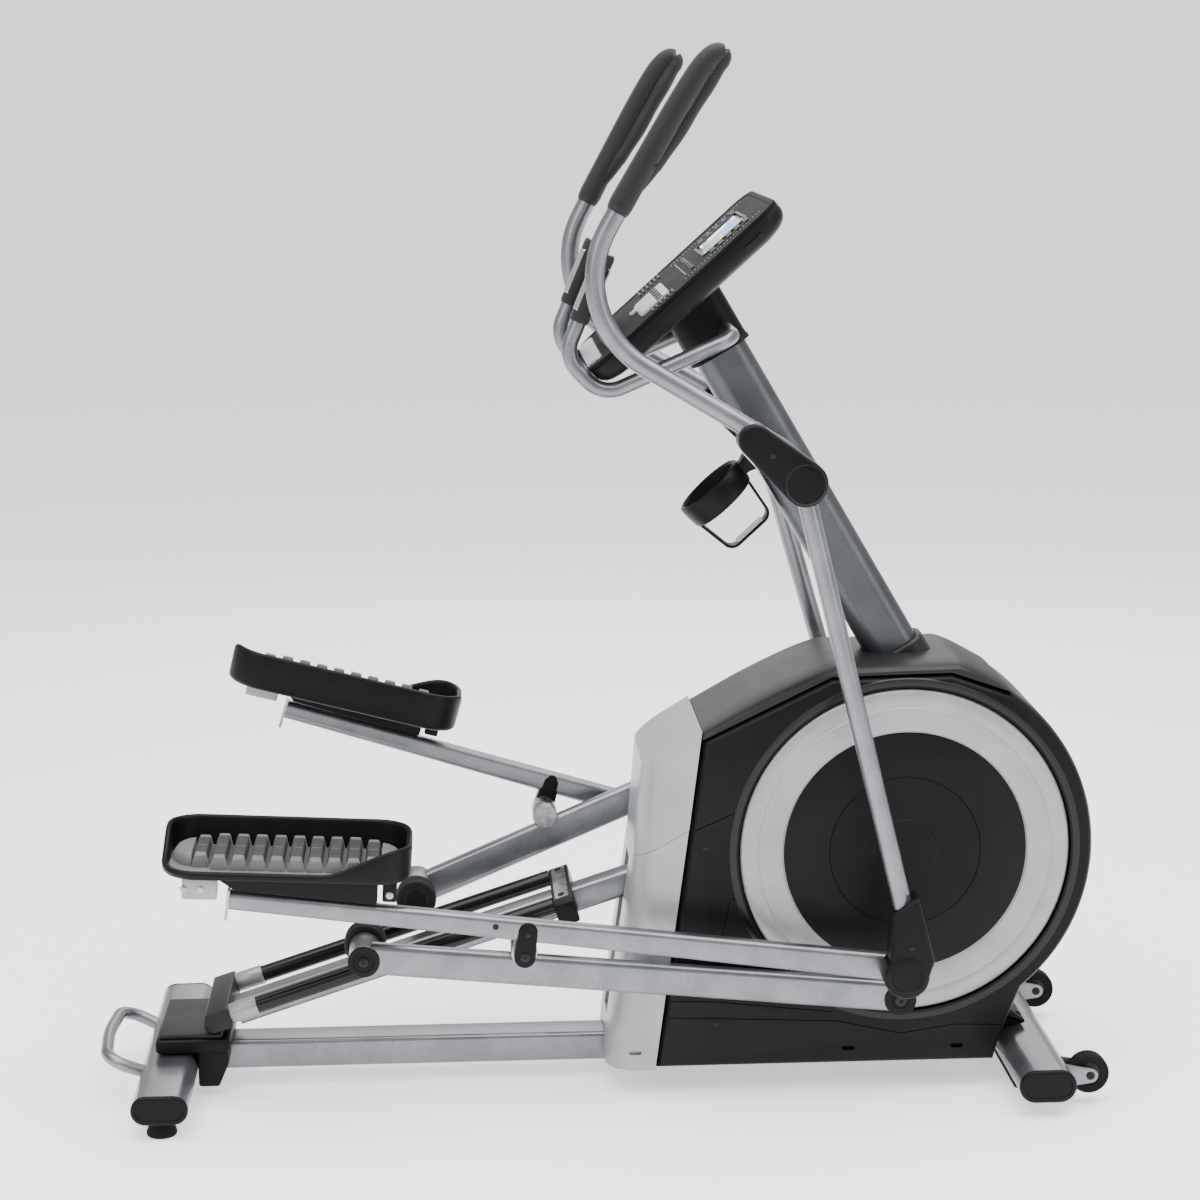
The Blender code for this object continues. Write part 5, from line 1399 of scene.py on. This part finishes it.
def makeDiscs():
    y0, y1 = disc["y0"], disc["y1"]
    for side, name in sides:
        ring = [(0.2060, y0 + 0.003), (disc["outer"] - 0.002, y0), (disc["outer"], y0 + 0.002),
                (disc["outer"], y1 - 0.006), (0.2815, y1 - 0.0035), (0.2780, y1 - 0.0018),
                (0.2560, y1 - 0.0004), (0.2545, y1 - 0.0012), (0.2530, y1 - 0.0012), (0.2515, y1),
                (0.2140, y1), (0.2115, y1 - 0.0010), (0.2100, y1 - 0.0035), (0.2060, y1 - 0.0035)]
        makePiece("discRing_" + name, lathe(ring, crank.x, crank.z, side, 160, closed=True),
                  "silverPigmentAbs", "crank", ["crank_disc_" + name])
        plate = [(0.0130, y0 + 0.003), (0.2095, y0 + 0.003), (0.2095, y1 - 0.0036), (0.2075, y1 - 0.0030),
                 (0.1315, y1 - 0.0026), (0.1308, y1 - 0.0036), (0.1298, y1 - 0.0036), (0.1290, y1 - 0.0026),
                 (0.0560, y1 - 0.0022), (0.0540, y1 - 0.0008), (0.0400, y1 - 0.0004), (0.0130, y1 - 0.0004)]
        makePiece("discPlate_" + name, lathe(plate, crank.x, crank.z, side, 160), "blackMouldedAbs", "crank",
                  ["crank_disc_" + name])


makeHousing()
makeFairing()
makeTopCover()
makeDiscs()
print("housing and discs made")


# wheels, feet and the drive inside
def makeWheels():
    for side, name in sides:
        at = pivots[name + "_wheel_spin"]
        y = abs(at.y)
        tyre = [(0.0215, -0.0125), (0.0290, -0.0130), (0.0322, -0.0145), (0.0340, -0.0128), (0.0345, -0.0090),
                (0.0345, -0.0040), (0.0338, -0.0030), (0.0338, 0.0)]
        tyre += [(r, -d) for r, d in tyre[-2::-1]]
        makePiece("wheelTyre_" + name, lathe([(r, y + d) for r, d in tyre], at.x, at.z, side, closed=True),
                  "curedRubber", name + "_wheel", ["transport_wheel_" + name])
        hub = [(0.0054, -0.0140), (0.0110, -0.0145), (0.0130, -0.0110), (0.0190, -0.0100), (0.0213, -0.0120),
               (0.0213, 0.0120), (0.0190, 0.0100), (0.0130, 0.0110), (0.0110, 0.0145), (0.0054, 0.0140)]
        makePiece("wheelHub_" + name, lathe([(r, y + d) for r, d in hub], at.x, at.z, side, closed=True),
                  "charcoalMouldedAbs", name + "_wheel", ["transport_wheel_" + name])
        low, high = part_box("leveling_foot_" + name)
        middle = (low + high) / 2
        top = high.z - 0.0180
        rows = [(0.0235, 0.0), (0.0250, 0.0015), (0.0258, 0.0050), (0.0250, 0.0085), (0.0205, top - 0.0090),
                (0.0190, top - 0.0060), (0.0190, top - 0.0010), (0.0180, top)]
        rings = [[(x, yy, z) for x, yy in circle(middle.x, middle.y, r, 56)] for r, z in rows]
        makePiece("levellingFoot_" + name, skin(rings), "curedRubber", name + "_foot",
                  ["leveling_foot_" + name])
        stud = []
        for k in range(19):
            z = top - 0.002 + 0.0010 * k
            stud.append([(x, yy, z) for x, yy in circle(middle.x, middle.y, 0.0050 if k % 2 else 0.0044, 24)])
        makePiece("footStud_" + name, skin(stud), "zincPlatedSteel", name + "_foot",
                  ["leveling_foot_" + name])


makeWheels()
carried = {"core_post": "graphitePowderCoatSteel", "drive_pulley": "zincPlatedSteel",
           "flywheel": "machinedCastIron", "drive_belt": "curedRubber", "brake_magnet": "zincPlatedSteel",
           "lift_motor": "blackMouldedAbs"}
for node, finish in carried.items():
    owner = frame["nodes"][node]
    owner.data.materials.clear()
    owner.data.materials.append(materials[finish])
print("wheels, feet and inner drive made")
